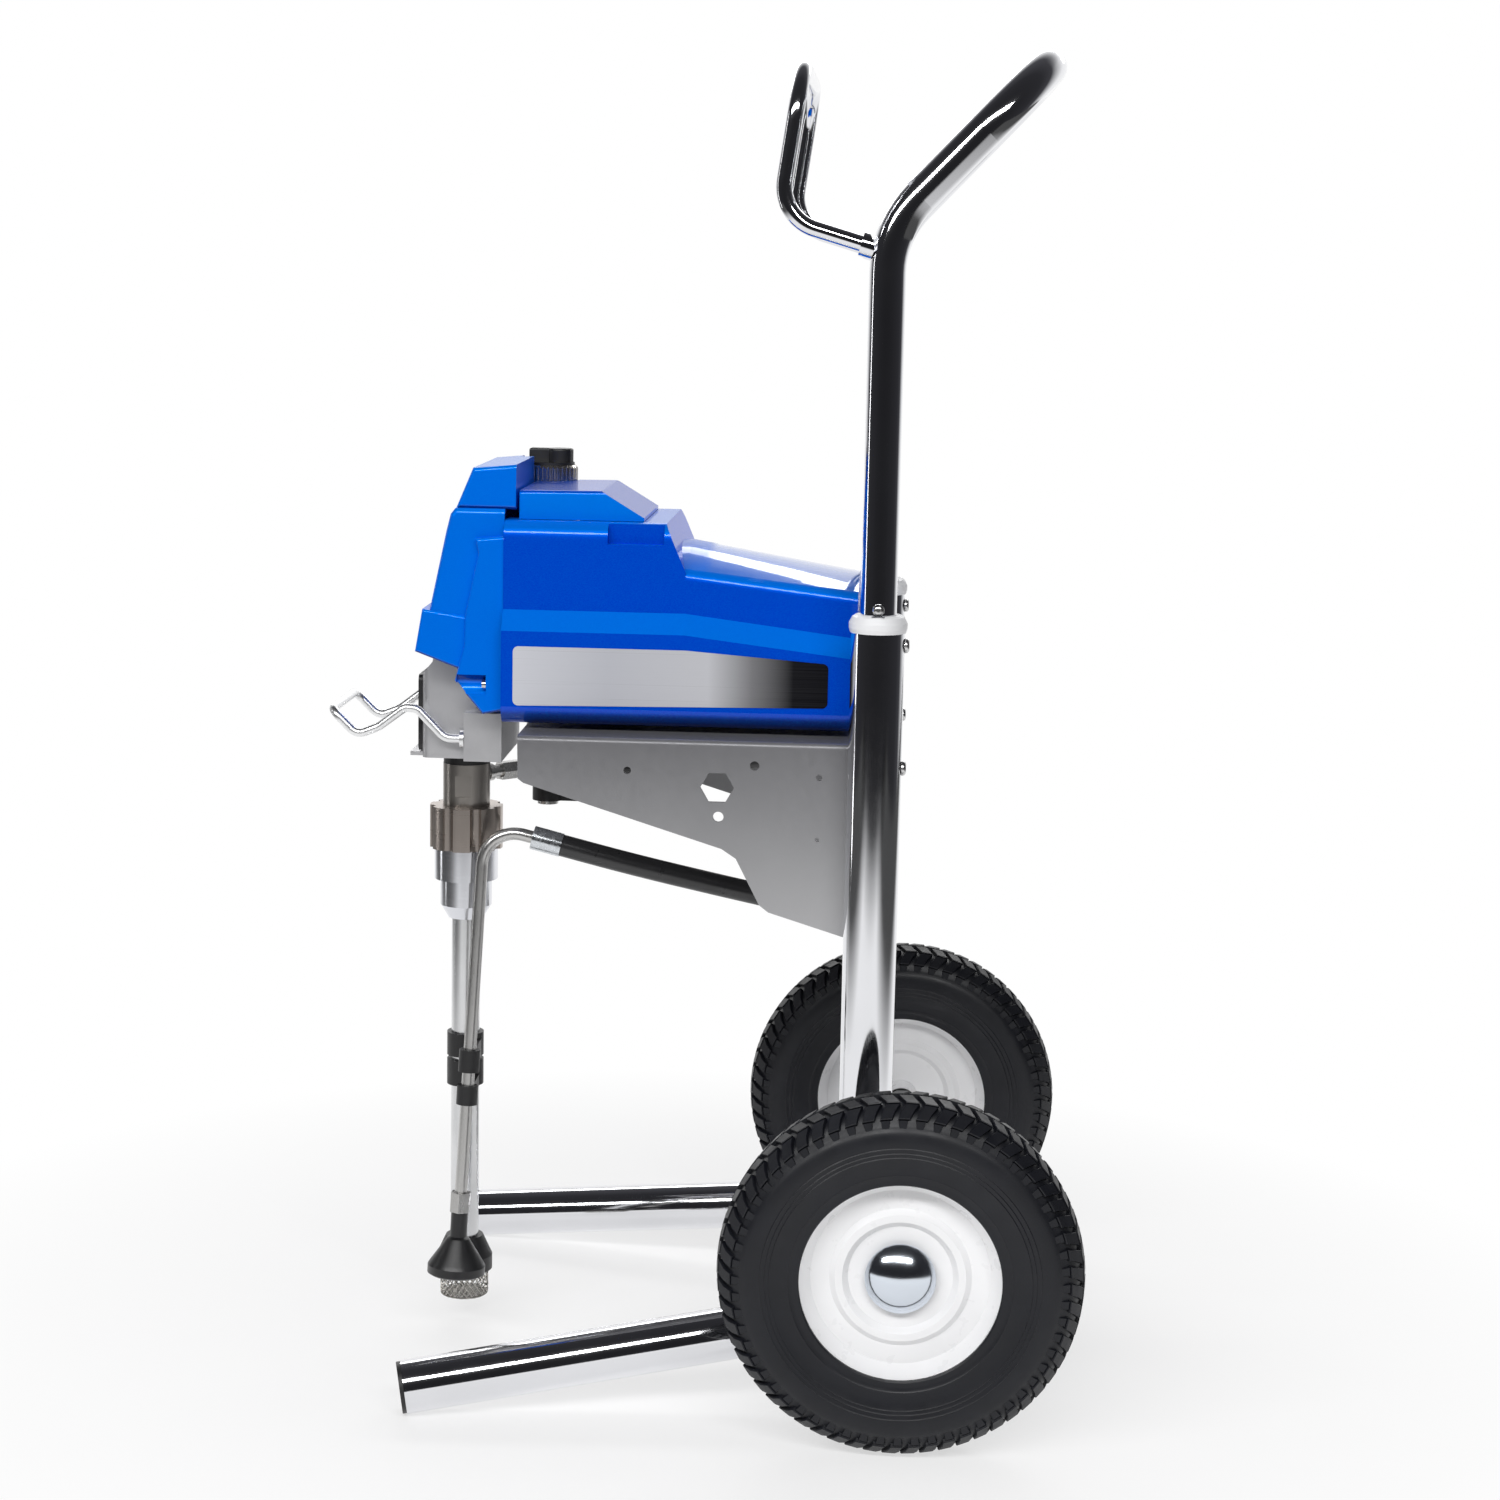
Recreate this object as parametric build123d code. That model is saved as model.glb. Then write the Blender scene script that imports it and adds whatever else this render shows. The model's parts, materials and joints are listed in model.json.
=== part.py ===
from build123d import *

import math
import os

# Airless paint sprayer on a two-wheeled cart, in millimetres, +Z up.
# +X is towards the wheels, the pump is at -X, and the left side is at -Y.
# X is measured from the wheel axle; FRAME_SHIFT moves the whole part at the end,
# so that the origin is on the floor below the middle of its box.

# ---- Fits
WELD = 0.05           # pieces that are welded or bonded face to face
RUNNING = 0.08        # radial clearance of a shaft that turns in its bore
LOOSE = 0.3           # gap between covers and their neighbours

# ---- Wheels
WHEEL_D = 254.0
TYRE_W = 58.0
TRACK = 460.0
RIM_R = 73.5
SHEET_RIM = 2.0
AXLE_D = 15.9
HUB_OD = 26.0
HUB_IN = 34.0         # hub end on the cart side, from the wheel's middle
HUB_OUT = 10.0        # hub end on the cap side
BUSH_FLANGE = 2.0
CAP_D = 49.0
CAP_RIM = 2.0
CAP_TIP = 26.0        # cap's highest point, from the wheel's middle

# ---- Cart tubes
TUBE_OD = 38.1
TUBE_WALL = 1.65
UPRIGHT_X = -(TUBE_OD / 2 + AXLE_D / 2 + 0.8)
UPRIGHT_Y = 131.1
UPRIGHT_TOP = 559.0
LEG_TIP_X = -349.9
LEG_TIP_Y = 200.8
LEG_CORNER_Z = 62.5
LEG_BEND_R = 114.0
PLUG_FLANGE = 3.0

# ---- Handle
HANDLE_OD = 25.4
HANDLE_WALL = 1.5
HANDLE_BEND_Z = 837.6
HANDLE_BEND_R = 75.0
GRIP_X = 80.5
GRIP_Z = 951.2
GRIP_BEND_R = 64.0
SLEEVE_TOP = UPRIGHT_TOP + 12.5
SLEEVE_BOTTOM = UPRIGHT_TOP - 107.0
SLEEVE_FLANGE_R = TUBE_OD / 2 + 1.55
HANDLE_END_Z = SLEEVE_BOTTOM + 18.0
BUTTON_D = 8.6
BUTTON_Z = SLEEVE_TOP + BUTTON_D / 2 + 0.1
BUTTON_REACH = 4.0
RACK_D = 11.5
RACK_JOIN_Z = 822.8
RACK_KNEE = (-103.5, 843.2)
RACK_TOP = (-89.0, 945.3)
RACK_KNEE_R = 30.0
RACK_TOP_R = 36.0
RACK_BOSS_D = 17.0

# ---- Mounting bracket
SHEET = 3.0
PLATE_TOP = 475.7
PLATE_FRONT = -283.7
PLATE_REAR = -46.9
SIDE_OUTLINE = [(-283.7, 475.7), (-283.1, 444.6), (-279.0, 441.5), (-135.9, 397.5), (-125.5, 390.7),
                (-108.1, 357.2), (-101.5, 352.1), (-45.7, 335.1), (-15.0, 335.1), (-15.0, 475.7)]
SIDE_HOLES = [(-204.4, 452.7, 2.7), (-138.6, 420.8, 3.8), (-113.3, 458.5, 3.4),
              (-67.1, 451.2, 2.3), (-67.5, 406.2, 1.5)]
HEX_HOLE = (-139.8, 442.0, 12.1)
BRACKET_BOLT_ZS = [352.0, 396.0, 440.0]
SCREW_D = 6.0
SCREW_HEAD_D = 10.5

# ---- Motor shield and covers
WALL = 2.5
SHIELD_FRONT = -299.0
SHIELD_STEP = -167.3
SHIELD_REAR = -43.0
SHIELD_BOTTOM = 480.0
LOWER_HALF = 88.0
UPPER_HALF = 78.0
# height of: chamfer bottom, chamfer top, side top, crown
SECTION_FRONT = (548.0, 562.5, 592.0, 609.0)
SECTION_REAR = (533.5, 547.5, 579.3, 588.0)
SHIELD_TOP = 626.5
SLOPE_TOP_X = -182.0
CROWN_NOSE = 13.0
SHIELD_MOUTH_HALF = 68.0
NOTCH = (-223.8, -183.0, 611.0)
NOTCH_DEPTH = 7.0
DECK_HALF = 62.0
DECK_OUTLINE = [(-289.6, 626.8), (-289.6, 647.4), (-230.4, 648.0), (-199.0, 629.2), (-199.0, 626.8)]
COVER_REAR = -299.3
COVER_MAIN = [(-335.5, 634.0), (-299.3, 634.0), (-299.3, 486.0), (-315.0, 486.0),
              (-333.0, 515.0), (-354.6, 557.0), (-342.1, 617.0), (-339.0, 629.5)]
COVER_NOSE = [(-359.0, 560.4), (-364.3, 529.1), (-331.5, 517.0), (-326.0, 517.0),
              (-326.0, 555.5)]
COVER_TOP = [(-323.2, 663.0), (-291.5, 666.0), (-291.9, 633.5), (-335.5, 633.5)]
COVER_PANEL = [(-319.9, 612.5), (-299.3, 614.5), (-299.3, 488.0), (-313.8, 485.0),
               (-334.3, 509.0), (-327.7, 534.6), (-327.1, 556.8), (-317.6, 602.2)]
COVER_MAIN_HALF = 70.0
COVER_NOSE_HALF = 71.5
COVER_TOP_HALF = 66.0
COVER_PANEL_HALF = 76.0
SCOOP = (-333.0, -311.5, 506.6, 7.2)
LABEL_T = 0.4
LABEL_OUTLINE = [(-290.3, 537.1), (-165.9, 537.1), (-62.9, 529.7), (-62.9, 497.8), (-290.3, 494.0)]

# ---- Drive
PUMP_X = -336.0
MOTOR_Z = 533.0
MOTOR_D = 92.0
MOTOR_FRONT = -262.0
MOTOR_REAR = -110.0
CAN_WALL = 3.0
MAGNET_T = 5.0
CORE_R = 35.0
SHAFT_R = 6.0
BELL_T = 6.0
FAN_R = 40.0
FAST_MODULE = 1.0
SLOW_MODULE = 1.25
PINION_TEETH = 12
WHEEL_TEETH = 60
SMALL_TEETH = 14
CRANK_TEETH = 56
FAST_DISTANCE = FAST_MODULE * (PINION_TEETH + WHEEL_TEETH) / 2
SLOW_DISTANCE = SLOW_MODULE * (SMALL_TEETH + CRANK_TEETH) / 2
LAY_Z = MOTOR_Z + FAST_DISTANCE
CRANK_Z = LAY_Z - SLOW_DISTANCE
FAST_GEAR_X = (-283.0, -273.0)
SLOW_GEAR_X = (-299.0, -287.0)
LAY_SHAFT_R = 5.0
CRANK_SHAFT_R = 10.0
CRANK_THROW = 10.0
CRANK_PIN_R = 6.5
CASE_HALF = 41.0
CASE_WALL = 3.0
CASE_TOP = 606.0
CASE_FRONT = -303.0
FOOT_REAR = -215.0
FOOT_HALF = 38.0
FOOT_T = 8.0
HOUSING_BOTTOM = 446.0
HOUSING_FRONT = -364.0
HOUSING_HALF = 40.0
BOSS_FRONT = -331.0
BOSS_HALF = 52.0
BOSS_TOP = 482.0
BEARING_WALL = 13.0
FLOOR_T = 6.0
LIP_REACH = 10.0
LIP_T = 3.0
SHIELD_T = 3.6
ROD_GAP = 6.4
ROD_T = 12.0
ROD_HALF = 8.0
WRIST_Z = 490.0
TANG_BOTTOM = 461.0

# ---- Pump
PUMP_R = 17.7
PUMP_TOP = 452.0
PUMP_LOWER_R = 21.0
JAM_R = 27.45
JAM_BOTTOM = 372.3
JAM_TOP = 404.7
JAM_LIP = 2.4
JAM_SCALLOPS = 8
JAM_SCALLOP_R = 4.5
CUFF_Z = (437.0, 442.6)
PISTON_R = 8.0
PISTON_END = 392.0
BARREL_R = 12.0
INTAKE_R = 24.0
INTAKE_STEP_R = 19.5
INTAKE_STEP_Z = 348.4
INTAKE_END_Z = 328.2
INTAKE_TIP_Z = 318.0
SUCTION_R = 10.75
SUCTION_WALL = 1.2
SUCTION_TOP = 338.0
SUCTION_END = 48.0
STRAINER_R = 21.5
STRAINER_TOP = 66.6
STRAINER_RIM = 40.0
MESH_R = 18.75
MESH_END = 18.5
MESH_T = 1.2

# ---- Pail hook
HOOK_D = 6.4
HOOK_HALF = 48.0
HOOK_PATH = [(-332.0, 462.2), (-345.3, 462.2), (-366.0, 483.6), (-375.0, 484.6), (-394.5, 469.6),
             (-411.0, 463.0), (-429.5, 481.5)]
HOOK_RADII = [12.0, 8.0, 8.0, 14.0, 10.0]
HOOK_TIP_R = 9.0

# ---- Drain line and prime valve
DRAIN_R = 4.75
DRAIN_FOOT = (-333.2, -44.6, 99.0)
DRAIN_HEAD = (-318.7, -28.4, 394.9)
DRAIN_BEND_R = 25.0
FERRULE_START = (-282.0, -28.4, 385.9)
FERRULE_END = (-260.3, -28.4, 380.6)
HOSE_R = 8.25
HOSE_BORE_R = 4.9
FERRULE_R = 8.9
FERRULE_T = 0.6
HOSE_FRONT_RUN = 57.0    # straight run behind the front ferrule
HOSE_BACK_RUN = 62.0     # straight run in front of the prime valve's port
HOSE_ROUTE = [(-128.0, -29.6, 351.2), (-46.6, -28.0, 334.8), (-8.5, 16.5, 389.4), (-47.6, 61.5, 443.3),
              (-128.0, 60.0, 436.0)]
CLIP_REAR = [(187.7, 207.3), (210.5, 228.5)]
CLIP_FRONT = [(182.0, 196.5), (207.0, 224.0)]
CLIP_WALL = 3.2
CONE_R = 21.8

# ---- Filter manifold
MANIFOLD = (-281.0, 58.0)
MANIFOLD_R = 17.0
MANIFOLD_BOTTOM = 414.0
MANIFOLD_TOP = 634.0
FILTER_R = 12.5
NIPPLE_Z = 427.0
RING_R = 20.5
RING_Z = (634.0, 658.9)
RING_FLUTES = 36
KNOB_TOP = 671.3
OUTLET_THREAD_R = 6.7
OUTLET_LENGTH = 14.0
VALVE_R = 9.0
LEVER_Z = (400.0, 411.0)
LEVER_REACH = 38.0

# ---- Control box, on the right of the shield
BOX_X = (-196.0, -66.0)
BOX_Z = (494.0, 536.0)
BOX_DEPTH = 20.0
KNOB_R = 17.0
KNOB_X = -160.0
SWITCH_X = -104.0
SWITCH_PIVOT_IN = 2.0

BASE = (Align.CENTER, Align.CENTER, Align.MIN)
SIDES = (-1, 1)
WHEEL_R = WHEEL_D / 2
TUBE_R = TUBE_OD / 2
HANDLE_R = HANDLE_OD / 2
BUTTON_SLOT_R = HANDLE_R + BUTTON_REACH + LOOSE
HOOK_TIP_X = HOOK_PATH[-1][0] - HOOK_D / 2
FRAME_SHIFT = -(HOOK_TIP_X + WHEEL_R) / 2


def rod(start, end, radius):
    """Solid cylinder from one point to another."""
    axis = Vector(*end) - Vector(*start)
    return Plane(origin=start, z_dir=axis) * Cylinder(radius, axis.length, align=BASE)


def block(xs, ys, zs):
    """Box between three pairs of limits."""
    size = [high - low for low, high in (xs, ys, zs)]
    middle = [(high + low) / 2 for low, high in (xs, ys, zs)]
    return Pos(*middle) * Box(*size)


def outline(points):
    """Face in the XZ plane from side-view points."""
    return Plane.XZ * Polygon(*points, align=None)


def prism(points, half, y=0.0):
    """Side-view outline, spread by half to each side of y."""
    return Pos(0, y, 0) * extrude(outline(points), amount=half, both=True)


def inset_prism(points, inset, half):
    """Side-view outline shrunk by inset, spread to each side."""
    shrunk = offset(Polygon(*points, align=None), amount=-inset, kind=Kind.INTERSECTION)
    return extrude(Plane.XZ * shrunk, amount=half, both=True)


def turned(points, at=(0.0, 0.0)):
    """Body of revolution about a vertical axis, from (radius, z) points."""
    return Pos(at[0], at[1], 0) * revolve(outline(points), axis=Axis.Z)


def turned_y(points, x=0.0, z=0.0):
    """Body of revolution about an axis along Y, from (radius, y) points."""
    return Pos(x, 0, z) * revolve(Polygon(*points, align=None), axis=Axis.Y)


def pipe(points, radii, outer, inner=0.0):
    """Round tube along straight runs joined by tangent arcs."""
    path = FilletPolyline(*points, radius=radii)
    start = Plane(origin=path @ 0, z_dir=path % 0)
    section = start * Circle(outer)
    if inner:
        section -= start * Circle(inner)
    return sweep(section, path=path)


def hexagon_bar(start, end, across):
    """Hexagonal bar between two points, given its size across flats."""
    axis = Vector(*end) - Vector(*start)
    face = Plane(origin=start, z_dir=axis) * RegularPolygon(across / math.sqrt(3), 6)
    return extrude(face, amount=axis.length)


def mirrored(shape):
    """The same piece on the other side of the cart."""
    return mirror(shape, about=Plane.XZ)


def both_sides(shape):
    """A left piece and its mirror image, as two solids."""
    return Compound(children=list(shape.solids()) + list(mirrored(shape).solids()))


def group(*shapes):
    """Several separate solids in one node."""
    return Compound(children=[solid for shape in shapes for solid in shape.solids()])


# ---- Cart


def upright_path(side):
    """Centre line of one leg and upright: tip, corner and top."""
    run = math.hypot(UPRIGHT_X - LEG_TIP_X, LEG_TIP_Y - UPRIGHT_Y)
    slope = math.atan2(LEG_CORNER_Z - TUBE_R, run)
    tip = (LEG_TIP_X, side * LEG_TIP_Y, TUBE_R * math.cos(slope) + 0.02)
    return [tip, (UPRIGHT_X, side * UPRIGHT_Y, LEG_CORNER_Z), (UPRIGHT_X, side * UPRIGHT_Y, UPRIGHT_TOP)]


def side_tube(side):
    """Bent tube: a floor leg that turns up into an upright, drilled for its screws."""
    tube = pipe(upright_path(side), [LEG_BEND_R], TUBE_R, TUBE_R - TUBE_WALL)
    y = side * UPRIGHT_Y
    for z in sleeve_screw_heights():
        tube -= rod((UPRIGHT_X, y, z), (UPRIGHT_X + TUBE_OD, y, z), SCREW_D / 2 + WELD)
    for z in BRACKET_BOLT_ZS:
        tube -= rod((UPRIGHT_X, y, z), (UPRIGHT_X, y - side * TUBE_OD, z), SCREW_D / 2 + WELD)
    return tube


def leg_plugs():
    """Plastic end plug in each floor leg."""
    tip, corner = (Vector(*point) for point in upright_path(-1)[:2])
    along = (corner - tip).normalized()
    flange = rod(tip - along * PLUG_FLANGE, tip - along * WELD, TUBE_R - 0.7)
    spigot = rod(tip - along * PLUG_FLANGE, tip + along * TUBE_OD / 2, TUBE_R - TUBE_WALL - WELD)
    hollow = rod(tip + along * PLUG_FLANGE, tip + along * TUBE_OD, TUBE_R - TUBE_WALL - 3.0)
    return both_sides(flange + spigot - hollow)


def axle_brackets():
    """Lugs welded behind the uprights that carry the axle."""
    half = 14.0
    lug_r = AXLE_D / 2 + 5.5
    y = -UPRIGHT_Y
    lug = rod((0, y - half, WHEEL_R), (0, y + half, WHEEL_R), lug_r)
    lug += block((UPRIGHT_X, 0), (y - half, y + half), (WHEEL_R - lug_r, WHEEL_R + lug_r))
    lug -= pipe(upright_path(-1), [LEG_BEND_R], TUBE_R + WELD)
    lug -= rod((0, y - TUBE_OD, WHEEL_R), (0, y + TUBE_OD, WHEEL_R), AXLE_D / 2 + WELD)
    return both_sides(lug.solids().sort_by(SortBy.VOLUME)[-1])


def axle():
    """Straight axle with a shoulder inside each wheel."""
    end = TRACK / 2 + HUB_OUT + BUSH_FLANGE + 6.0
    shoulder = TRACK / 2 - HUB_IN - BUSH_FLANGE - LOOSE
    bar = rod((0, -end, WHEEL_R), (0, end, WHEEL_R), AXLE_D / 2)
    for side in SIDES:
        bar += rod((0, side * (shoulder - 6.0), WHEEL_R), (0, side * shoulder, WHEEL_R), AXLE_D / 2 + 3.0)
    return bar


def hub_caps():
    """Domed push-on caps over the axle ends."""
    base = TRACK / 2 + HUB_OUT + BUSH_FLANGE + LOOSE
    tip = TRACK / 2 + CAP_TIP
    bore = TRACK / 2 + HUB_OUT + BUSH_FLANGE + 6.0 + LOOSE
    r = CAP_D / 2
    height = tip - base - CAP_RIM
    sphere_r = (r ** 2 + height ** 2) / (2 * height)
    ball = Pos(0, tip - sphere_r, WHEEL_R) * Sphere(sphere_r)
    dome = ball & rod((0, base + CAP_RIM, WHEEL_R), (0, tip + 1.0, WHEEL_R), r)
    dome += rod((0, base, WHEEL_R), (0, base + CAP_RIM, WHEEL_R), r)
    return both_sides(dome - rod((0, base - 1.0, WHEEL_R), (0, bore, WHEEL_R), AXLE_D / 2 + WELD))


def tyre(side):
    """Semi-pneumatic rubber tyre, hollow, its beads held on the rim."""
    bead = RIM_R + WELD
    half = TYRE_W / 2
    outer = [(bead, 22.0), (bead + 2.5, half - 4.0), (bead + 10.0, half - 0.8)]
    for angle in range(0, 90, 10):
        turn = math.radians(angle)
        outer.append((WHEEL_R - half * (1 - math.sin(turn)), half * math.cos(turn)))
    outer.append((WHEEL_R, 0.5))
    inner = [(bead, 8.0), (bead + 7.0, 9.0), (bead + 14.0, 19.0), (bead + 25.0, 20.0),
             (WHEEL_R - 19.0, 15.0), (WHEEL_R - 12.0, 5.0)]
    upper = outer + [(r, -y) for r, y in reversed(outer)]
    lower = [(r, -y) for r, y in inner] + [(r, y) for r, y in reversed(inner)]
    return Pos(0, side * TRACK / 2, 0) * turned_y(upper + lower, z=WHEEL_R)


def rim(side):
    """Two stamped rim halves and the hub tube that joins them."""
    t = SHEET_RIM
    face = [(49.0, 9.5), (62.0, 9.5), (69.2, 20.0), (RIM_R - t, 22.0), (RIM_R, 22.0)]
    back = [(RIM_R, WELD), (RIM_R - t, WELD), (RIM_R - t, 19.6), (63.4, 9.5 - t),
            (48.0, 9.5 - t), (44.0, 13.0 - t), (41.0, 13.0 - t), (37.0, 9.0 - t)]
    centre = HUB_OD / 2 + WELD
    half = face + back + [(centre, 9.0 - t), (centre, 9.0), (36.0, 9.0), (40.0, 13.0), (45.0, 13.0)]
    outer = turned_y(half, z=WHEEL_R)
    hub = turned_y([(HUB_OD / 2 - 2.5, -HUB_IN), (HUB_OD / 2, -HUB_IN), (HUB_OD / 2, HUB_OUT),
                    (HUB_OD / 2 - 2.5, HUB_OUT)], z=WHEEL_R)
    wheel = group(outer, mirrored(outer), hub)
    if side < 0:
        wheel = mirrored(wheel)
    return Pos(0, side * TRACK / 2, 0) * wheel


def wheel_bushes(side):
    """Flanged plastic bushes between the hub and the axle."""
    bore = AXLE_D / 2 + RUNNING
    seat = HUB_OD / 2 - 2.5 - WELD
    flange = HUB_OD / 2
    outer = turned_y([(bore, HUB_OUT - 14.0), (seat, HUB_OUT - 14.0), (seat, HUB_OUT), (flange, HUB_OUT),
                      (flange, HUB_OUT + BUSH_FLANGE), (bore, HUB_OUT + BUSH_FLANGE)], z=WHEEL_R)
    inner = turned_y([(bore, 14.0 - HUB_IN), (seat, 14.0 - HUB_IN), (seat, -HUB_IN), (flange, -HUB_IN),
                      (flange, -HUB_IN - BUSH_FLANGE), (bore, -HUB_IN - BUSH_FLANGE)], z=WHEEL_R)
    pair = group(outer, inner)
    if side < 0:
        pair = mirrored(pair)
    return Pos(0, side * TRACK / 2, 0) * pair


# ---- Handle


def sleeve_screw_heights():
    """Heights of the screws that hold each guide sleeve."""
    return [UPRIGHT_TOP - 9.0, SLEEVE_BOTTOM + 11.1]


def handle_sleeves():
    """Guide sleeves in the uprights, slotted so that the snap buttons pass."""
    bore = HANDLE_R + RUNNING
    spigot = TUBE_R - TUBE_WALL - WELD
    flange = SLEEVE_FLANGE_R
    height = SLEEVE_TOP - UPRIGHT_TOP
    sleeve = turned([(bore, SLEEVE_BOTTOM), (spigot, SLEEVE_BOTTOM), (spigot, UPRIGHT_TOP + WELD),
                     (flange - 1.0, UPRIGHT_TOP + WELD), (flange, UPRIGHT_TOP + height * 0.25),
                     (flange, UPRIGHT_TOP + height * 0.55), (flange - 2.2, SLEEVE_TOP - 1.4),
                     (flange - 4.4, SLEEVE_TOP), (bore, SLEEVE_TOP)])
    slot_half = BUTTON_D / 2 + LOOSE
    sleeve -= block((-slot_half, slot_half), (-BUTTON_SLOT_R, 0), (SLEEVE_BOTTOM - 1, SLEEVE_TOP + 1))
    for z in sleeve_screw_heights():
        sleeve -= rod((HANDLE_R, 0, z), (TUBE_OD, 0, z), SCREW_D / 2 + WELD)
    return both_sides(Pos(UPRIGHT_X, -UPRIGHT_Y, 0) * sleeve)


def domed_screw(tip, head, direction, length):
    """Domed screw: its head sits at head and its shank runs back along -direction."""
    along = Vector(*direction)
    head = Vector(*head)
    shank = rod(head - along * length, head, SCREW_D / 2)
    dome = Plane(origin=head, z_dir=along) * Cylinder(SCREW_HEAD_D / 2, 3.2, align=BASE)
    top = dome.faces().sort_by(Axis(origin=head, direction=along))[-1]
    return shank + fillet(top.edges(), tip)


def sleeve_screws():
    """Short domed screws from behind each upright into its guide sleeve."""
    x = UPRIGHT_X + TUBE_R + WELD
    reach = TUBE_R - HANDLE_R - 0.6
    screws = [domed_screw(2.4, (x, -UPRIGHT_Y, z), (1, 0, 0), reach) for z in sleeve_screw_heights()]
    return both_sides(group(*screws))


def handle_tube():
    """Telescoping handle: two legs that lean back to a cross grip."""
    y = UPRIGHT_Y
    points = [(UPRIGHT_X, -y, HANDLE_END_Z), (UPRIGHT_X, -y, HANDLE_BEND_Z), (GRIP_X, -y, GRIP_Z),
              (GRIP_X, y, GRIP_Z), (UPRIGHT_X, y, HANDLE_BEND_Z), (UPRIGHT_X, y, HANDLE_END_Z)]
    radii = [HANDLE_BEND_R, GRIP_BEND_R, GRIP_BEND_R, HANDLE_BEND_R]
    tube = pipe(points, radii, HANDLE_R, HANDLE_R - HANDLE_WALL)
    for side in SIDES:
        start = (UPRIGHT_X, side * UPRIGHT_Y, BUTTON_Z)
        tube -= rod(start, (UPRIGHT_X, side * (UPRIGHT_Y + HANDLE_OD), BUTTON_Z), BUTTON_D / 2 + RUNNING)
    return tube


def snap_button(side):
    """Snap button with the leaf that presses it outwards."""
    inner_wall = HANDLE_R - HANDLE_WALL
    shank = rod((0, inner_wall - 3.0, 0), (0, HANDLE_R + BUTTON_REACH, 0), BUTTON_D / 2)
    tip = shank.faces().sort_by(Axis.Y)[-1]
    button = fillet(tip.edges(), BUTTON_D / 2 - 0.8)
    button += block((-5.0, 5.0), (inner_wall - 4.2, inner_wall - 3.0), (-42.0, 6.0))
    button = Pos(UPRIGHT_X, UPRIGHT_Y, BUTTON_Z) * button
    return button if side > 0 else mirrored(button)


def snap_clips():
    """Fixed leaves of the snap springs, on the inner wall of each handle leg."""
    inner_wall = HANDLE_R - HANDLE_WALL
    leaf = block((-5.0, 5.0), (-inner_wall + 1.4, -inner_wall + 2.6), (-42.0, 6.0))
    leaf += block((-5.0, 5.0), (-inner_wall + 1.4, inner_wall - 9.0), (-43.2, -42.0))
    return both_sides(mirrored(Pos(UPRIGHT_X, UPRIGHT_Y, BUTTON_Z) * leaf))


def rack_points(side):
    """Centre line of one arm of the hose rack."""
    y = side * UPRIGHT_Y
    start = (UPRIGHT_X - HANDLE_R - 1.0, y, RACK_JOIN_Z + 2.6)
    return [start, (RACK_KNEE[0], y, RACK_KNEE[1]), (RACK_TOP[0], y, RACK_TOP[1])]


def hose_rack():
    """Bent rod that a coiled hose hangs on, with a welded boss at each end."""
    points = rack_points(-1) + list(reversed(rack_points(1)))
    radii = [RACK_KNEE_R, RACK_TOP_R, RACK_TOP_R, RACK_KNEE_R]
    rack = pipe(points, radii, RACK_D / 2)
    for side in SIDES:
        first, second = (Vector(*point) for point in rack_points(side)[:2])
        along = (second - first).normalized()
        rack += rod(first - along * 6.0, first + along * 5.0, RACK_BOSS_D / 2)
    for side in SIDES:
        y = side * UPRIGHT_Y
        rack -= rod((UPRIGHT_X, y, HANDLE_END_Z), (UPRIGHT_X, y, HANDLE_BEND_Z), HANDLE_R + WELD)
    return rack.solids().sort_by(SortBy.VOLUME)[-1]


# ---- Mounting bracket


def plate_cutters():
    """Holes through the left side plate."""
    y = -UPRIGHT_Y + TUBE_R + WELD + SHEET / 2
    cutters = [rod((x, y - SHEET, z), (x, y + SHEET, z), r) for x, z, r in SIDE_HOLES]
    cutters += [rod((UPRIGHT_X, y - SHEET, z), (UPRIGHT_X, y + SHEET, z), SCREW_D / 2 + WELD)
                for z in BRACKET_BOLT_ZS]
    x, z, r = HEX_HOLE
    hexagon = Plane(origin=(x, y + SHEET, z), x_dir=(1, 0, 0), z_dir=(0, -1, 0)) * RegularPolygon(r, 6)
    return cutters + [extrude(hexagon, amount=2 * SHEET)]


def foot_bolt_places():
    """Places of the bolts through the gear case foot."""
    return [(x, y) for x in (MOTOR_FRONT - 9.0, FOOT_REAR + 9.0) for y in (-26.0, 26.0)]


def bracket():
    """Folded channel between the uprights: top plate and two side plates."""
    half = UPRIGHT_Y - TUBE_R - WELD
    xs = [x for x, z in SIDE_OUTLINE]
    zs = [z for x, z in SIDE_OUTLINE]
    bar = block((min(xs), max(xs)), (-half, half), (min(zs), PLATE_TOP))
    bar = fillet(bar.edges().filter_by(Axis.X).group_by(Axis.Z)[-1], SHEET + 1.0)
    hollow = block((min(xs) - 1, max(xs) + 1), (SHEET - half, half - SHEET), (min(zs) - 1, PLATE_TOP - SHEET))
    channel = (bar - hollow) & prism(SIDE_OUTLINE, half + 1)
    channel -= block((PLATE_REAR, max(xs) + 1), (SHEET - half, half - SHEET),
                     (PLATE_TOP - 2 * SHEET, PLATE_TOP + 1))
    for cutter in plate_cutters():
        channel = channel - cutter - mirrored(cutter)
    reach = MANIFOLD_R + 3.0
    channel -= rod((*MANIFOLD, PLATE_TOP - 2 * SHEET), (*MANIFOLD, PLATE_TOP + SHEET), reach)
    channel -= block((PLATE_FRONT - 1, MANIFOLD[0]), (MANIFOLD[1] - reach, MANIFOLD[1] + reach),
                     (PLATE_TOP - 2 * SHEET, PLATE_TOP + SHEET))
    for x, y in foot_bolt_places():
        channel -= rod((x, y, PLATE_TOP - 2 * SHEET), (x, y, PLATE_TOP + SHEET), SCREW_D / 2 + LOOSE)
    return channel


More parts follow.
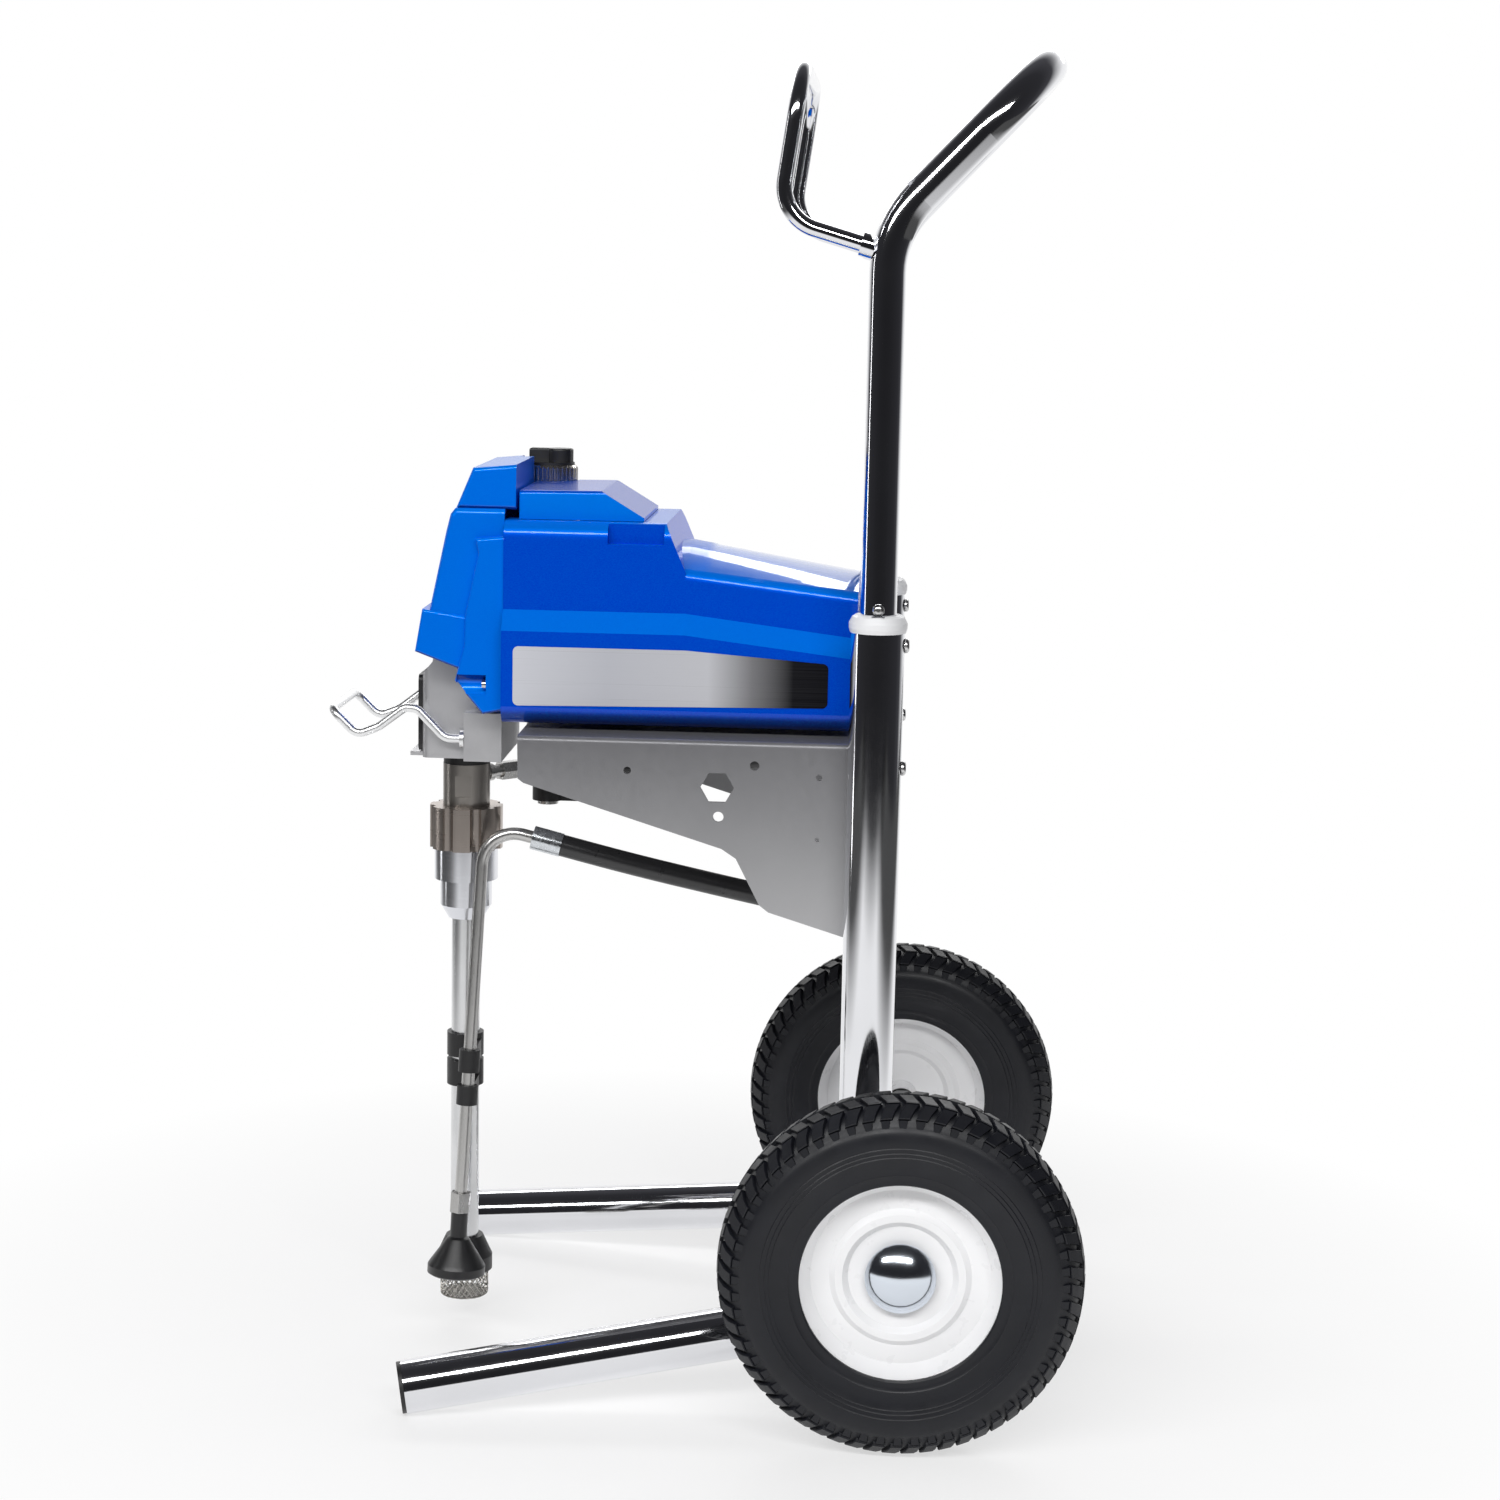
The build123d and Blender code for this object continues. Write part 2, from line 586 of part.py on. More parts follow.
def bracket_bolts():
    """Bolts from the side plates into the uprights, and up into the gear case foot."""
    y = -UPRIGHT_Y + TUBE_R + WELD + SHEET
    reach = SHEET + TUBE_WALL + 2.0
    sides = [domed_screw(2.0, (UPRIGHT_X, y + WELD, z), (0, 1, 0), reach) for z in BRACKET_BOLT_ZS]
    foot = [domed_screw(2.0, (x, y2, PLATE_TOP - SHEET - WELD), (0, 0, -1), SHEET + 6.0)
            for x, y2 in foot_bolt_places()]
    left = group(*sides)
    return group(left, mirrored(left), *foot)


# ---- Shield and covers


def shield_section(x, heights, inset):
    """Cross-section of the shield's rear part at x."""
    chamfer_low, chamfer_high, side_top, crown = heights
    low, high = LOWER_HALF - inset, UPPER_HALF - inset
    bottom = SHIELD_BOTTOM + inset
    right = Polyline((0, bottom), (low, bottom), (low, chamfer_low), (high, chamfer_high),
                     (high, side_top - inset))
    arc = ThreePointArc((high, side_top - inset), (0, crown - inset), (-high, side_top - inset))
    left = Polyline((-high, side_top - inset), (-high, chamfer_high), (-low, chamfer_low),
                    (-low, bottom), (0, bottom))
    face = make_face(Curve() + [right, arc, left])
    bottoms = face.vertices().filter_by(lambda v: abs(v.Y - bottom) < 0.01 and abs(v.X) > 1)
    face = fillet(bottoms, 13.0 - inset)
    tops = face.vertices().filter_by(lambda v: abs(v.Y - side_top + inset) < 0.01)
    face = fillet(tops, 9.0 - inset)
    return Plane(origin=(x, 0, 0), x_dir=(0, 1, 0), z_dir=(1, 0, 0)) * face


def shield_front_block(inset):
    """Front part of the shield: flat top, sloping down at its rear."""
    chamfer_low, chamfer_high = SECTION_FRONT[:2]
    low, high = LOWER_HALF - inset, UPPER_HALF - inset
    bottom, top = SHIELD_BOTTOM + inset, SHIELD_TOP - inset
    face = Polygon((-low, bottom), (low, bottom), (low, chamfer_low), (high, chamfer_high), (high, top),
                   (-high, top), (-high, chamfer_high), (-low, chamfer_low), align=None)
    bottoms = face.vertices().filter_by(lambda v: abs(v.Y - bottom) < 0.01)
    face = fillet(bottoms, 13.0 - inset)
    tops = face.vertices().filter_by(lambda v: abs(v.Y - top) < 0.01)
    face = fillet(tops, 12.0 - inset)
    start = Plane(origin=(SHIELD_FRONT, 0, 0), x_dir=(0, 1, 0), z_dir=(1, 0, 0))
    solid = extrude(start * face, amount=SHIELD_STEP - SHIELD_FRONT)
    side_top = SECTION_FRONT[2] - inset
    cutter = prism([(SLOPE_TOP_X - inset, top + 0.01), (SHIELD_STEP - inset * 0.4, side_top),
                    (SHIELD_STEP + 20, side_top), (SHIELD_STEP + 20, top + 20), (SLOPE_TOP_X - inset, top + 20)],
                   LOWER_HALF + 10)
    return solid - cutter


def shield_solid(inset):
    """The shield's whole outer form, shrunk by inset."""
    rear = SHIELD_REAR - inset
    start = shield_section(SHIELD_STEP, SECTION_FRONT, inset)
    body = loft([start, shield_section(rear, SECTION_REAR, inset)], ruled=True)
    nose = extrude(start, amount=-CROWN_NOSE)
    nose &= block((SHIELD_STEP - 2 * CROWN_NOSE, SHIELD_STEP), (-UPPER_HALF, UPPER_HALF),
                  (SECTION_FRONT[1] + 5.0, SHIELD_TOP))
    return shield_front_block(inset) + body + nose


def motor_shield():
    """Painted shield around the motor, open below and at the front."""
    x0, x1, z0 = NOTCH
    outer = shield_solid(0.0)
    cavity = shield_solid(WALL)
    cavity += block((SHIELD_FRONT - 1, SHIELD_FRONT + WALL + 1), (-UPPER_HALF + WALL, UPPER_HALF - WALL),
                    (SHIELD_BOTTOM + WALL, SHIELD_TOP - 3 * WALL))
    for side in SIDES:
        inner, far = side * (UPPER_HALF - NOTCH_DEPTH), side * (UPPER_HALF + 10)
        outer -= block((x0, x1), sorted((inner, far)), (z0, SHIELD_TOP + 10))
        pad = side * (UPPER_HALF - NOTCH_DEPTH - WALL)
        cavity -= block((x0 - WALL, x1 + WALL), sorted((pad, far)), (z0 - WALL, SHIELD_TOP + 10))
    cavity += block((SHIELD_FRONT - 1, SHIELD_REAR - 3 * WALL), (-SHIELD_MOUTH_HALF, SHIELD_MOUTH_HALF),
                    (SHIELD_BOTTOM - 5, SHIELD_BOTTOM + 2 * WALL))
    shield = outer - cavity
    shield -= rod((*MANIFOLD, SHIELD_TOP - 25), (*MANIFOLD, SHIELD_TOP + 10), MANIFOLD_R + 1.6)
    shield -= rod((*MANIFOLD, SHIELD_BOTTOM - 5), (*MANIFOLD, SHIELD_BOTTOM + 20), MANIFOLD_R + 1.6)
    for slot in range(7):
        z = MOTOR_Z - 24.0 + slot * 8.0
        shield -= block((SHIELD_REAR - 3 * WALL, SHIELD_REAR + 1), (-30.0, 30.0), (z, z + 4.0))
    return shield.solids().sort_by(SortBy.VOLUME)[-1]


def top_deck():
    """Low cover on the shield, cut away around the filter cap."""
    deck = prism(DECK_OUTLINE, DECK_HALF)
    deck = fillet(deck.edges().filter_by(lambda e: e.center().Z > 640.0 and e.center().X > -285), 3.0)
    deck -= prism([(-287.1, 626.0), (-287.1, 645.0), (-231.2, 645.4), (-204.0, 629.2), (-204.0, 626.0)],
                  DECK_HALF - WALL)
    deck -= rod((*MANIFOLD, SHIELD_TOP - 5), (*MANIFOLD, KNOB_TOP), RING_R + 1.5)
    return deck.solids().sort_by(SortBy.VOLUME)[-1]


def scoop(side, grow=0.0):
    """Rounded scoop in the front cover that gives access to its screw."""
    x0, x1, z, r = SCOOP
    y = side * COVER_PANEL_HALF
    return rod((x0 - 6 * grow, y, z), (x1 + grow, y, z), r + grow)


def front_cover():
    """Painted cover over the drive housing, open behind and below."""
    blocks = [(COVER_MAIN, COVER_MAIN_HALF, 4.0), (COVER_NOSE, COVER_NOSE_HALF, 2.0),
              (COVER_TOP, COVER_TOP_HALF, 3.0), (COVER_PANEL, COVER_PANEL_HALF, 2.0)]
    outer = None
    for points, half, radius in blocks:
        solid = prism(points, half)
        rims = solid.edges().filter_by(lambda e: abs(abs(e.center().Y) - half) < 0.01
                                       and e.center().X < COVER_REAR - 2)
        solid = fillet(rims, radius)
        outer = solid if outer is None else outer + solid
    cavity = inset_prism(COVER_MAIN, WALL, COVER_MAIN_HALF - WALL)
    cavity += inset_prism(COVER_NOSE, WALL, COVER_NOSE_HALF - WALL - 1.5)
    cavity += inset_prism(COVER_TOP, WALL, COVER_TOP_HALF - WALL)
    cavity += prism([(-345.0, 540.0), (-326.0, 525.0), (-318.0, 545.0), (-338.0, 556.0)], COVER_MAIN_HALF - WALL)
    cavity += prism([(-328.0, 625.0), (-299.0, 625.0), (-299.0, 640.0), (-328.0, 640.0)], COVER_TOP_HALF - WALL)
    cavity += prism([(-304.0, 631.0), (-290.0, 631.0), (-290.0, 480.0), (-312.0, 480.0), (-326.0, 510.0)],
                    COVER_MAIN_HALF - WALL)
    cavity += prism([(-358.0, 524.0), (-300.0, 524.0), (-300.0, 505.0), (-358.0, 505.0)], BOSS_HALF + 3.0)
    for side in SIDES:
        cavity -= scoop(side, WALL)
    cover = outer - cavity
    cover -= prism([(x, z) for x, z in housing_outline(LOOSE + 0.1)], HOUSING_HALF + LOOSE)
    cover -= rod((*MANIFOLD, SHIELD_TOP + 5.0), (*MANIFOLD, KNOB_TOP), RING_R + 1.5)
    for side in SIDES:
        cover -= scoop(side)
        x, z = SCOOP[1], SCOOP[2]
        y = side * (COVER_PANEL_HALF - 3.5)
        cover -= rod((x - 1, y, z), (x + 30, y, z), 2.1)
    return cover.solids().sort_by(SortBy.VOLUME)[-1]


def cover_screws():
    """Screws in the scoops of the front cover."""
    x, z = SCOOP[1], SCOOP[2]
    y = -(COVER_PANEL_HALF - 3.5)
    screw = rod((x - 3.0, y, z), (x - WELD, y, z), 3.4) + rod((x - 3.0, y, z), (x + 9.0, y, z), 2.0)
    return both_sides(screw)


def small_screws():
    """Screws of the guide sleeves and of the front cover."""
    return group(sleeve_screws(), cover_screws())


def side_label():
    """Thin label plate on the shield's left side."""
    face = fillet(Polygon(*LABEL_OUTLINE, align=None).vertices(), 4.0)
    plate = extrude(Plane.XZ * face, amount=LABEL_T / 2, both=True)
    return Pos(0, -LOWER_HALF - WELD - LABEL_T / 2, 0) * plate


# ---- Motor and gears


def motor_can():
    """Steel motor can with its two magnets."""
    axis_start, axis_end = (MOTOR_FRONT + WELD, 0, MOTOR_Z), (MOTOR_REAR, 0, MOTOR_Z)
    inner = MOTOR_D / 2 - CAN_WALL
    can = rod(axis_start, axis_end, MOTOR_D / 2) - rod(axis_start, axis_end, inner)
    start, end = (MOTOR_FRONT + 25.0, 0, MOTOR_Z), (MOTOR_REAR - 45.0, 0, MOTOR_Z)
    ring = rod(start, end, inner - WELD) - rod(start, end, inner - MAGNET_T)
    ring &= group(block((start[0], end[0]), (-60, 60), (MOTOR_Z + 10, MOTOR_Z + 60)),
                  block((start[0], end[0]), (-60, 60), (MOTOR_Z - 60, MOTOR_Z - 10)))
    return group(can, ring)


def gear_face(module, teeth, bore, phase=0.0):
    """Gear outline with narrow straight-sided teeth."""
    pitch = module * teeth / 2
    root, tip = pitch - 1.15 * module, pitch + 0.85 * module
    step = 2 * math.pi / teeth
    points = []
    for tooth in range(teeth):
        middle = tooth * step + phase
        corners = [(root, -0.27), (pitch, -0.20), (tip, -0.09), (tip, 0.09), (pitch, 0.20), (root, 0.27)]
        points += [(r * math.cos(middle + share * step), r * math.sin(middle + share * step))
                   for r, share in corners]
    face = Polygon(*points, align=None)
    return face - Circle(bore) if bore else face


def gear(module, teeth, xs, z, phase=0.0):
    """Spur gear about an axis along X."""
    plane = Plane(origin=(xs[0], 0, z), x_dir=(0, 0, 1), z_dir=(1, 0, 0))
    return extrude(plane * gear_face(module, teeth, 0.0, phase), amount=xs[1] - xs[0])


def armature():
    """Motor shaft with its wound core, commutator and drive pinion."""
    x0 = FAST_GEAR_X[0] - 1.0
    shaft = rod((x0, 0, MOTOR_Z), (MOTOR_REAR + 26.0, 0, MOTOR_Z), SHAFT_R - 1.2)
    shaft += rod((MOTOR_FRONT - 4.0, 0, MOTOR_Z), (MOTOR_REAR + 26.0, 0, MOTOR_Z), SHAFT_R)
    shaft += rod((MOTOR_FRONT + 27.0, 0, MOTOR_Z), (MOTOR_REAR - 47.0, 0, MOTOR_Z), CORE_R)
    shaft += rod((MOTOR_REAR - 38.0, 0, MOTOR_Z), (MOTOR_REAR - 18.0, 0, MOTOR_Z), 15.0)
    phase = math.pi / PINION_TEETH
    return shaft + gear(FAST_MODULE, PINION_TEETH, (x0, FAST_GEAR_X[1] + 1.0), MOTOR_Z, phase)


def motor_end_bell():
    """Rear end bell with the armature's rear bearing seat."""
    x0, x1 = MOTOR_REAR + WELD, MOTOR_REAR + BELL_T
    bell = rod((x0, 0, MOTOR_Z), (x1, 0, MOTOR_Z), MOTOR_D / 2)
    bell += rod((x0 - 10.0, 0, MOTOR_Z), (x1, 0, MOTOR_Z), 16.0)
    for angle in range(0, 360, 60):
        y, z = 30 * math.cos(math.radians(angle)), MOTOR_Z + 30 * math.sin(math.radians(angle))
        bell -= rod((x0 - 1, y, z), (x1 + 1, y, z), 7.0)
    return bell - rod((x0 - 20, 0, MOTOR_Z), (x1 + 1, 0, MOTOR_Z), SHAFT_R + RUNNING)


def cooling_fan():
    """Radial fan on the rear of the motor shaft."""
    x0 = MOTOR_REAR + BELL_T + 3.0
    fan = rod((x0, 0, MOTOR_Z), (x0 + 2.0, 0, MOTOR_Z), FAN_R)
    fan += rod((x0, 0, MOTOR_Z), (x0 + 14.0, 0, MOTOR_Z), SHAFT_R + 4.0)
    blade = block((x0, x0 + 12.0), (-1.0, 1.0), (MOTOR_Z + 9.0, MOTOR_Z + FAN_R - 1.0))
    axis = Axis(origin=(0, 0, MOTOR_Z), direction=(1, 0, 0))
    for index in range(10):
        fan += blade.rotate(axis, index * 36.0)
    return fan - rod((x0 - 1, 0, MOTOR_Z), (x0 + 20, 0, MOTOR_Z), SHAFT_R + WELD)


def combination_gear():
    """Lay shaft with the large fast gear and the small slow pinion."""
    shaft = rod((CASE_FRONT - BEARING_WALL + 3.0, 0, LAY_Z), (MOTOR_FRONT - 0.5, 0, LAY_Z), LAY_SHAFT_R)
    shaft += gear(FAST_MODULE, WHEEL_TEETH, FAST_GEAR_X, LAY_Z)
    return shaft + gear(SLOW_MODULE, SMALL_TEETH, (SLOW_GEAR_X[0] - 1.0, FAST_GEAR_X[0]), LAY_Z,
                        math.pi / SMALL_TEETH)


def crankshaft():
    """Crank gear, shaft, disc and eccentric pin."""
    disc = (PUMP_X + ROD_T / 2 + 1.5, PUMP_X + ROD_T / 2 + 7.5)
    crank = gear(SLOW_MODULE, CRANK_TEETH, SLOW_GEAR_X, CRANK_Z)
    crank += rod((disc[0], 0, CRANK_Z), (SLOW_GEAR_X[1], 0, CRANK_Z), CRANK_SHAFT_R)
    crank += rod((disc[0], 0, CRANK_Z), (disc[1], 0, CRANK_Z), CRANK_THROW + CRANK_PIN_R + 3.0)
    pin_z = CRANK_Z + CRANK_THROW
    return crank + rod((PUMP_X - ROD_T / 2 - 1.0, 0, pin_z), (disc[1], 0, pin_z), CRANK_PIN_R)


def connecting_rod():
    """Connecting rod: a ring on the crank pin and a fork around the piston's tang."""
    pin_z = CRANK_Z + CRANK_THROW
    x0, x1 = PUMP_X - ROD_T / 2, PUMP_X + ROD_T / 2
    ring = CRANK_PIN_R + 5.5
    bottom = WRIST_Z - ROD_HALF
    link = rod((x0, 0, pin_z), (x1, 0, pin_z), ring)
    link += block((x0, x1), (-ROD_HALF, ROD_HALF), (bottom, pin_z))
    link -= rod((x0 - 1, 0, pin_z), (x1 + 1, 0, pin_z), CRANK_PIN_R + RUNNING)
    link -= block((PUMP_X - ROD_GAP / 2, PUMP_X + ROD_GAP / 2), (-ROD_HALF - 1, ROD_HALF + 1),
                  (bottom - 1, WRIST_Z + 2 * CRANK_THROW + 8.0))
    return link - rod((x0 - 1, 0, WRIST_Z), (x1 + 1, 0, WRIST_Z), 4.0)


def piston_rod():
    """Piston rod with its flat drive tang and the piston head."""
    tang = ROD_GAP / 2 - LOOSE
    piston = rod((PUMP_X, 0, PISTON_END), (PUMP_X, 0, TANG_BOTTOM), PISTON_R)
    piston += block((PUMP_X - tang, PUMP_X + tang), (-7.0, 7.0), (TANG_BOTTOM - 2, WRIST_Z + 7.0))
    piston -= rod((PUMP_X - 10, 0, WRIST_Z), (PUMP_X + 10, 0, WRIST_Z), 4.0)
    return piston + rod((PUMP_X, 0, PISTON_END), (PUMP_X, 0, PISTON_END + 14.0), BARREL_R - RUNNING)


def gear_case():
    """Gear case behind the drive housing, with the foot that stands on the bracket."""
    front = CASE_FRONT + WELD
    rear = MOTOR_FRONT
    case = block((front, rear), (-CASE_HALF, CASE_HALF), (PLATE_TOP + WELD, CASE_TOP))
    case = fillet(case.edges().filter_by(Axis.X).group_by(Axis.Z)[-1], 10.0)
    foot_front = PLATE_FRONT + 0.5
    case -= block((front - 1, foot_front), (-60, 60), (PLATE_TOP - 5, PLATE_TOP + FOOT_T))
    case += block((foot_front, FOOT_REAR), (-FOOT_HALF, FOOT_HALF), (PLATE_TOP + WELD, PLATE_TOP + FOOT_T))
    case -= block((front - 1, rear - CASE_WALL - 1.0), (-CASE_HALF + CASE_WALL, CASE_HALF - CASE_WALL),
                  (PLATE_TOP + FOOT_T + 3.0, CASE_TOP - CASE_WALL))
    case -= rod((rear - 10, 0, LAY_Z), (rear + 1, 0, LAY_Z), LAY_SHAFT_R + RUNNING)
    case -= rod((rear - 10, 0, MOTOR_Z), (rear + 1, 0, MOTOR_Z), SHAFT_R + RUNNING)
    case -= rod((rear, 0, MOTOR_Z), (FOOT_REAR + 1, 0, MOTOR_Z), MOTOR_D / 2 + LOOSE)
    for x, y in foot_bolt_places():
        case -= rod((x, y, PLATE_TOP - 1), (x, y, PLATE_TOP + FOOT_T - 1.0), SCREW_D / 2 + WELD)
    return case


def housing_outline(grow=0.0):
    """Side view of the drive housing, grown outwards for its clearance."""
    front, rear = -grow, grow
    return [(HOUSING_FRONT + front, HOUSING_BOTTOM), (HOUSING_FRONT + front, 508.0 + grow),
            (-356.0 + front, 518.0 + grow), (-350.0 + front, 556.0), (-340.0 + front, 600.0 + grow),
            (CASE_FRONT + rear, 600.0 + grow), (CASE_FRONT + rear, HOUSING_BOTTOM)]


def drive_housing():
    """Cast housing that holds the crank and carries the pump."""
    body = prism(housing_outline(), HOUSING_HALF)
    body = fillet(body.edges().filter_by(Axis.Z).filter_by(lambda e: e.center().X < -360), 6.0)
    body += block((BOSS_FRONT, CASE_FRONT), (-BOSS_HALF, BOSS_HALF), (HOUSING_BOTTOM, BOSS_TOP))
    body += block((HOUSING_FRONT - LIP_REACH, HOUSING_FRONT + 8.0), (-30.0, 30.0), (HOUSING_BOTTOM, HOUSING_BOTTOM + LIP_T))
    inner_front = HOUSING_FRONT - 1
    body -= block((inner_front, CASE_FRONT - BEARING_WALL), (-34.0, 34.0), (HOUSING_BOTTOM + FLOOR_T, 508.0))
    body -= block((-347.0, CASE_FRONT - BEARING_WALL), (-34.0, 34.0), (500.0, 552.0))
    body -= rod((CASE_FRONT - 30, 0, CRANK_Z), (CASE_FRONT + 1, 0, CRANK_Z), CRANK_SHAFT_R + RUNNING)
    body -= rod((CASE_FRONT - BEARING_WALL + 2.0, 0, LAY_Z), (CASE_FRONT + 1, 0, LAY_Z), LAY_SHAFT_R + RUNNING)
    body -= rod((PUMP_X, 0, HOUSING_BOTTOM - 1), (PUMP_X, 0, PUMP_TOP + 1), PUMP_R + WELD)
    for side in SIDES:
        x, z = HOOK_PATH[0]
        body -= rod((x - 10, side * HOOK_HALF, z), (BOSS_FRONT + 14.0, side * HOOK_HALF, z), HOOK_D / 2 + WELD)
    return body


def rod_shield():
    """Plate that closes the front of the crank chamber."""
    front = HOUSING_FRONT - SHIELD_T
    plate = block((front, HOUSING_FRONT - WELD), (-33.0, 33.0), (450.0, 507.0))
    return fillet(plate.edges().filter_by(Axis.X), 5.0)


def pail_hook():
    """Bent wire that a pail hangs on, its ends in the housing's side bosses."""
    near = [(x, -HOOK_HALF, z) for x, z in HOOK_PATH]
    near[0] = (BOSS_FRONT + 13.0, -HOOK_HALF, HOOK_PATH[0][1])
    far = [(x, -y, z) for x, y, z in reversed(near)]
    radii = HOOK_RADII + [HOOK_TIP_R, HOOK_TIP_R] + HOOK_RADII[::-1]
    hook = pipe(near + far, radii, HOOK_D / 2)
    for side in SIDES:
        y, z = side * HOOK_HALF, HOOK_PATH[0][1]
        hook += rod((BOSS_FRONT - 3.0, y, z), (BOSS_FRONT - WELD, y, z), HOOK_D / 2 + 3.0)
    return hook


# ---- Pump


def pump_cylinder():
    """Pump cylinder, held in the housing floor, flanged inside the jam nut."""
    cuff = PUMP_R - 2.2
    flange_top = JAM_TOP - JAM_LIP - WELD
    profile = [(BARREL_R, 386.5), (PUMP_LOWER_R, 386.5), (PUMP_LOWER_R, flange_top), (PUMP_R, flange_top),
               (PUMP_R, CUFF_Z[0]), (cuff, CUFF_Z[0]), (cuff, CUFF_Z[1]), (PUMP_R, CUFF_Z[1]),
               (PUMP_R, PUMP_TOP), (BARREL_R, PUMP_TOP), (BARREL_R, 448.0), (PISTON_R + RUNNING, 448.0),
               (PISTON_R + RUNNING, 430.0), (BARREL_R, 430.0)]
    cylinder = turned(profile, (PUMP_X, 0))
    flat = PUMP_R - 1.2
    for side in SIDES:
        ys = sorted((side * flat, side * PUMP_R * 2))
        cylinder -= block((PUMP_X - PUMP_R, PUMP_X + PUMP_R), ys, (JAM_TOP + 8.0, JAM_TOP + 24.0))
    start, end = nipple_line()
    return cylinder - rod(start, end, 5.0 + WELD)


def pump_cuff():
    """Black wiper ring around the pump cylinder."""
    inner = PUMP_R - 2.2 + WELD
    low, high = CUFF_Z[0] + WELD, CUFF_Z[1] - WELD
    return turned([(inner, low), (PUMP_R - 0.3, low), (PUMP_R - 0.3, high), (inner, high)], (PUMP_X, 0))


def jam_nut():
    """Scalloped nut that joins the cylinder and the intake housing."""
    bore = PUMP_LOWER_R + WELD
    nut = turned([(bore, JAM_BOTTOM), (JAM_R, JAM_BOTTOM), (JAM_R, JAM_TOP), (PUMP_R + WELD, JAM_TOP),
                  (PUMP_R + WELD, JAM_TOP - JAM_LIP), (bore, JAM_TOP - JAM_LIP)])
    for index in range(JAM_SCALLOPS):
        angle = 2 * math.pi * (index + 0.5) / JAM_SCALLOPS
        x, y = (JAM_R + 1.2) * math.cos(angle), (JAM_R + 1.2) * math.sin(angle)
        nut -= rod((x, y, JAM_BOTTOM - 1), (x, y, JAM_TOP + 1), JAM_SCALLOP_R)
    return Pos(PUMP_X, 0, 0) * nut


def intake_housing():
    """Intake valve housing, bored for the ball and the suction tube."""
    socket = SUCTION_R + WELD
    profile = [(14.0, 386.0), (PUMP_LOWER_R, 386.0), (PUMP_LOWER_R, JAM_BOTTOM - WELD),
               (INTAKE_R, JAM_BOTTOM - WELD), (INTAKE_R, INTAKE_STEP_Z), (INTAKE_STEP_R, INTAKE_STEP_Z),
               (INTAKE_STEP_R, INTAKE_END_Z), (socket + 2.5, INTAKE_TIP_Z), (socket, INTAKE_TIP_Z),
               (socket, SUCTION_TOP + WELD), (7.0, SUCTION_TOP + WELD), (7.0, 352.0), (14.0, 358.0)]
    return turned(profile, (PUMP_X, 0))


def suction_tube():
    """Straight tube down to the strainer."""
    inner = SUCTION_R - SUCTION_WALL
    return turned([(inner, SUCTION_END), (SUCTION_R, SUCTION_END), (SUCTION_R, SUCTION_TOP),
                   (inner, SUCTION_TOP)], (PUMP_X, 0))


def strainer_body():
    """Plastic strainer head on the end of the suction tube."""
    bore = SUCTION_R + WELD
    profile = [(bore, STRAINER_TOP), (bore + 3.5, STRAINER_TOP), (STRAINER_R - 1.0, STRAINER_RIM + 13.0),
               (STRAINER_R, STRAINER_RIM + 11.0), (STRAINER_R, STRAINER_RIM), (MESH_R + WELD, STRAINER_RIM),
               (MESH_R + WELD, STRAINER_RIM + 3.0), (SUCTION_R - 3.0, STRAINER_RIM + 5.0),
               (SUCTION_R - 3.0, SUCTION_END - WELD), (bore, SUCTION_END - WELD)]
    return turned(profile, (PUMP_X, 0))


def strainer_mesh():
    """Wire-mesh basket under the strainer head."""
    inner = MESH_R - MESH_T
    top = STRAINER_RIM + 3.0 - WELD
    profile = [(0, MESH_END), (MESH_R - 2.5, MESH_END), (MESH_R, MESH_END + 2.5), (MESH_R, top),
               (inner, top), (inner, MESH_END + MESH_T + 2.0), (MESH_R - 3.2, MESH_END + MESH_T),
               (0, MESH_END + MESH_T)]
    return turned(profile, (PUMP_X, 0))


# ---- Drain line


def drain_point(z):
    """Point of the leaning drain tube's axis at a height."""
    foot, head = Vector(*DRAIN_FOOT), Vector(*DRAIN_HEAD)
    return foot + (head - foot) * ((z - foot.Z) / (head.Z - foot.Z))


def drain_tube():
    """Leaning drain tube with its bend and the hex nut at its foot."""
    points = [drain_point(DRAIN_FOOT[2] - 14.0), DRAIN_HEAD, FERRULE_END]
    tube = pipe([tuple(point) for point in points], [DRAIN_BEND_R], DRAIN_R, DRAIN_R - 1.0)
    nut = hexagon_bar(drain_point(DRAIN_FOOT[2]), drain_point(DRAIN_FOOT[2] + 15.0), 14.0)
    bore = rod(drain_point(DRAIN_FOOT[2] - 1), drain_point(DRAIN_FOOT[2] + 16), DRAIN_R - 0.5)
    return tube + (nut - bore)


def deflector():
    """Rubber deflector cone and its neck below the drain nut."""
    foot, up = drain_point(DRAIN_FOOT[2] - WELD), (Vector(*DRAIN_HEAD) - Vector(*DRAIN_FOOT)).normalized()
    plane = Plane(origin=foot, z_dir=up)
    neck, bore = 6.4, DRAIN_R + WELD
    profile = [(bore, 0), (neck, 0), (neck, -19.0), (8.5, -20.5), (CONE_R - 1.5, -38.5), (CONE_R, -41.0),
               (CONE_R, -47.0), (CONE_R - 2.5, -48.5), (CONE_R - 2.5, -42.5), (bore + 1.5, -26.0), (bore, -24.0)]
    return plane * revolve(outline(profile), axis=Axis.Z)


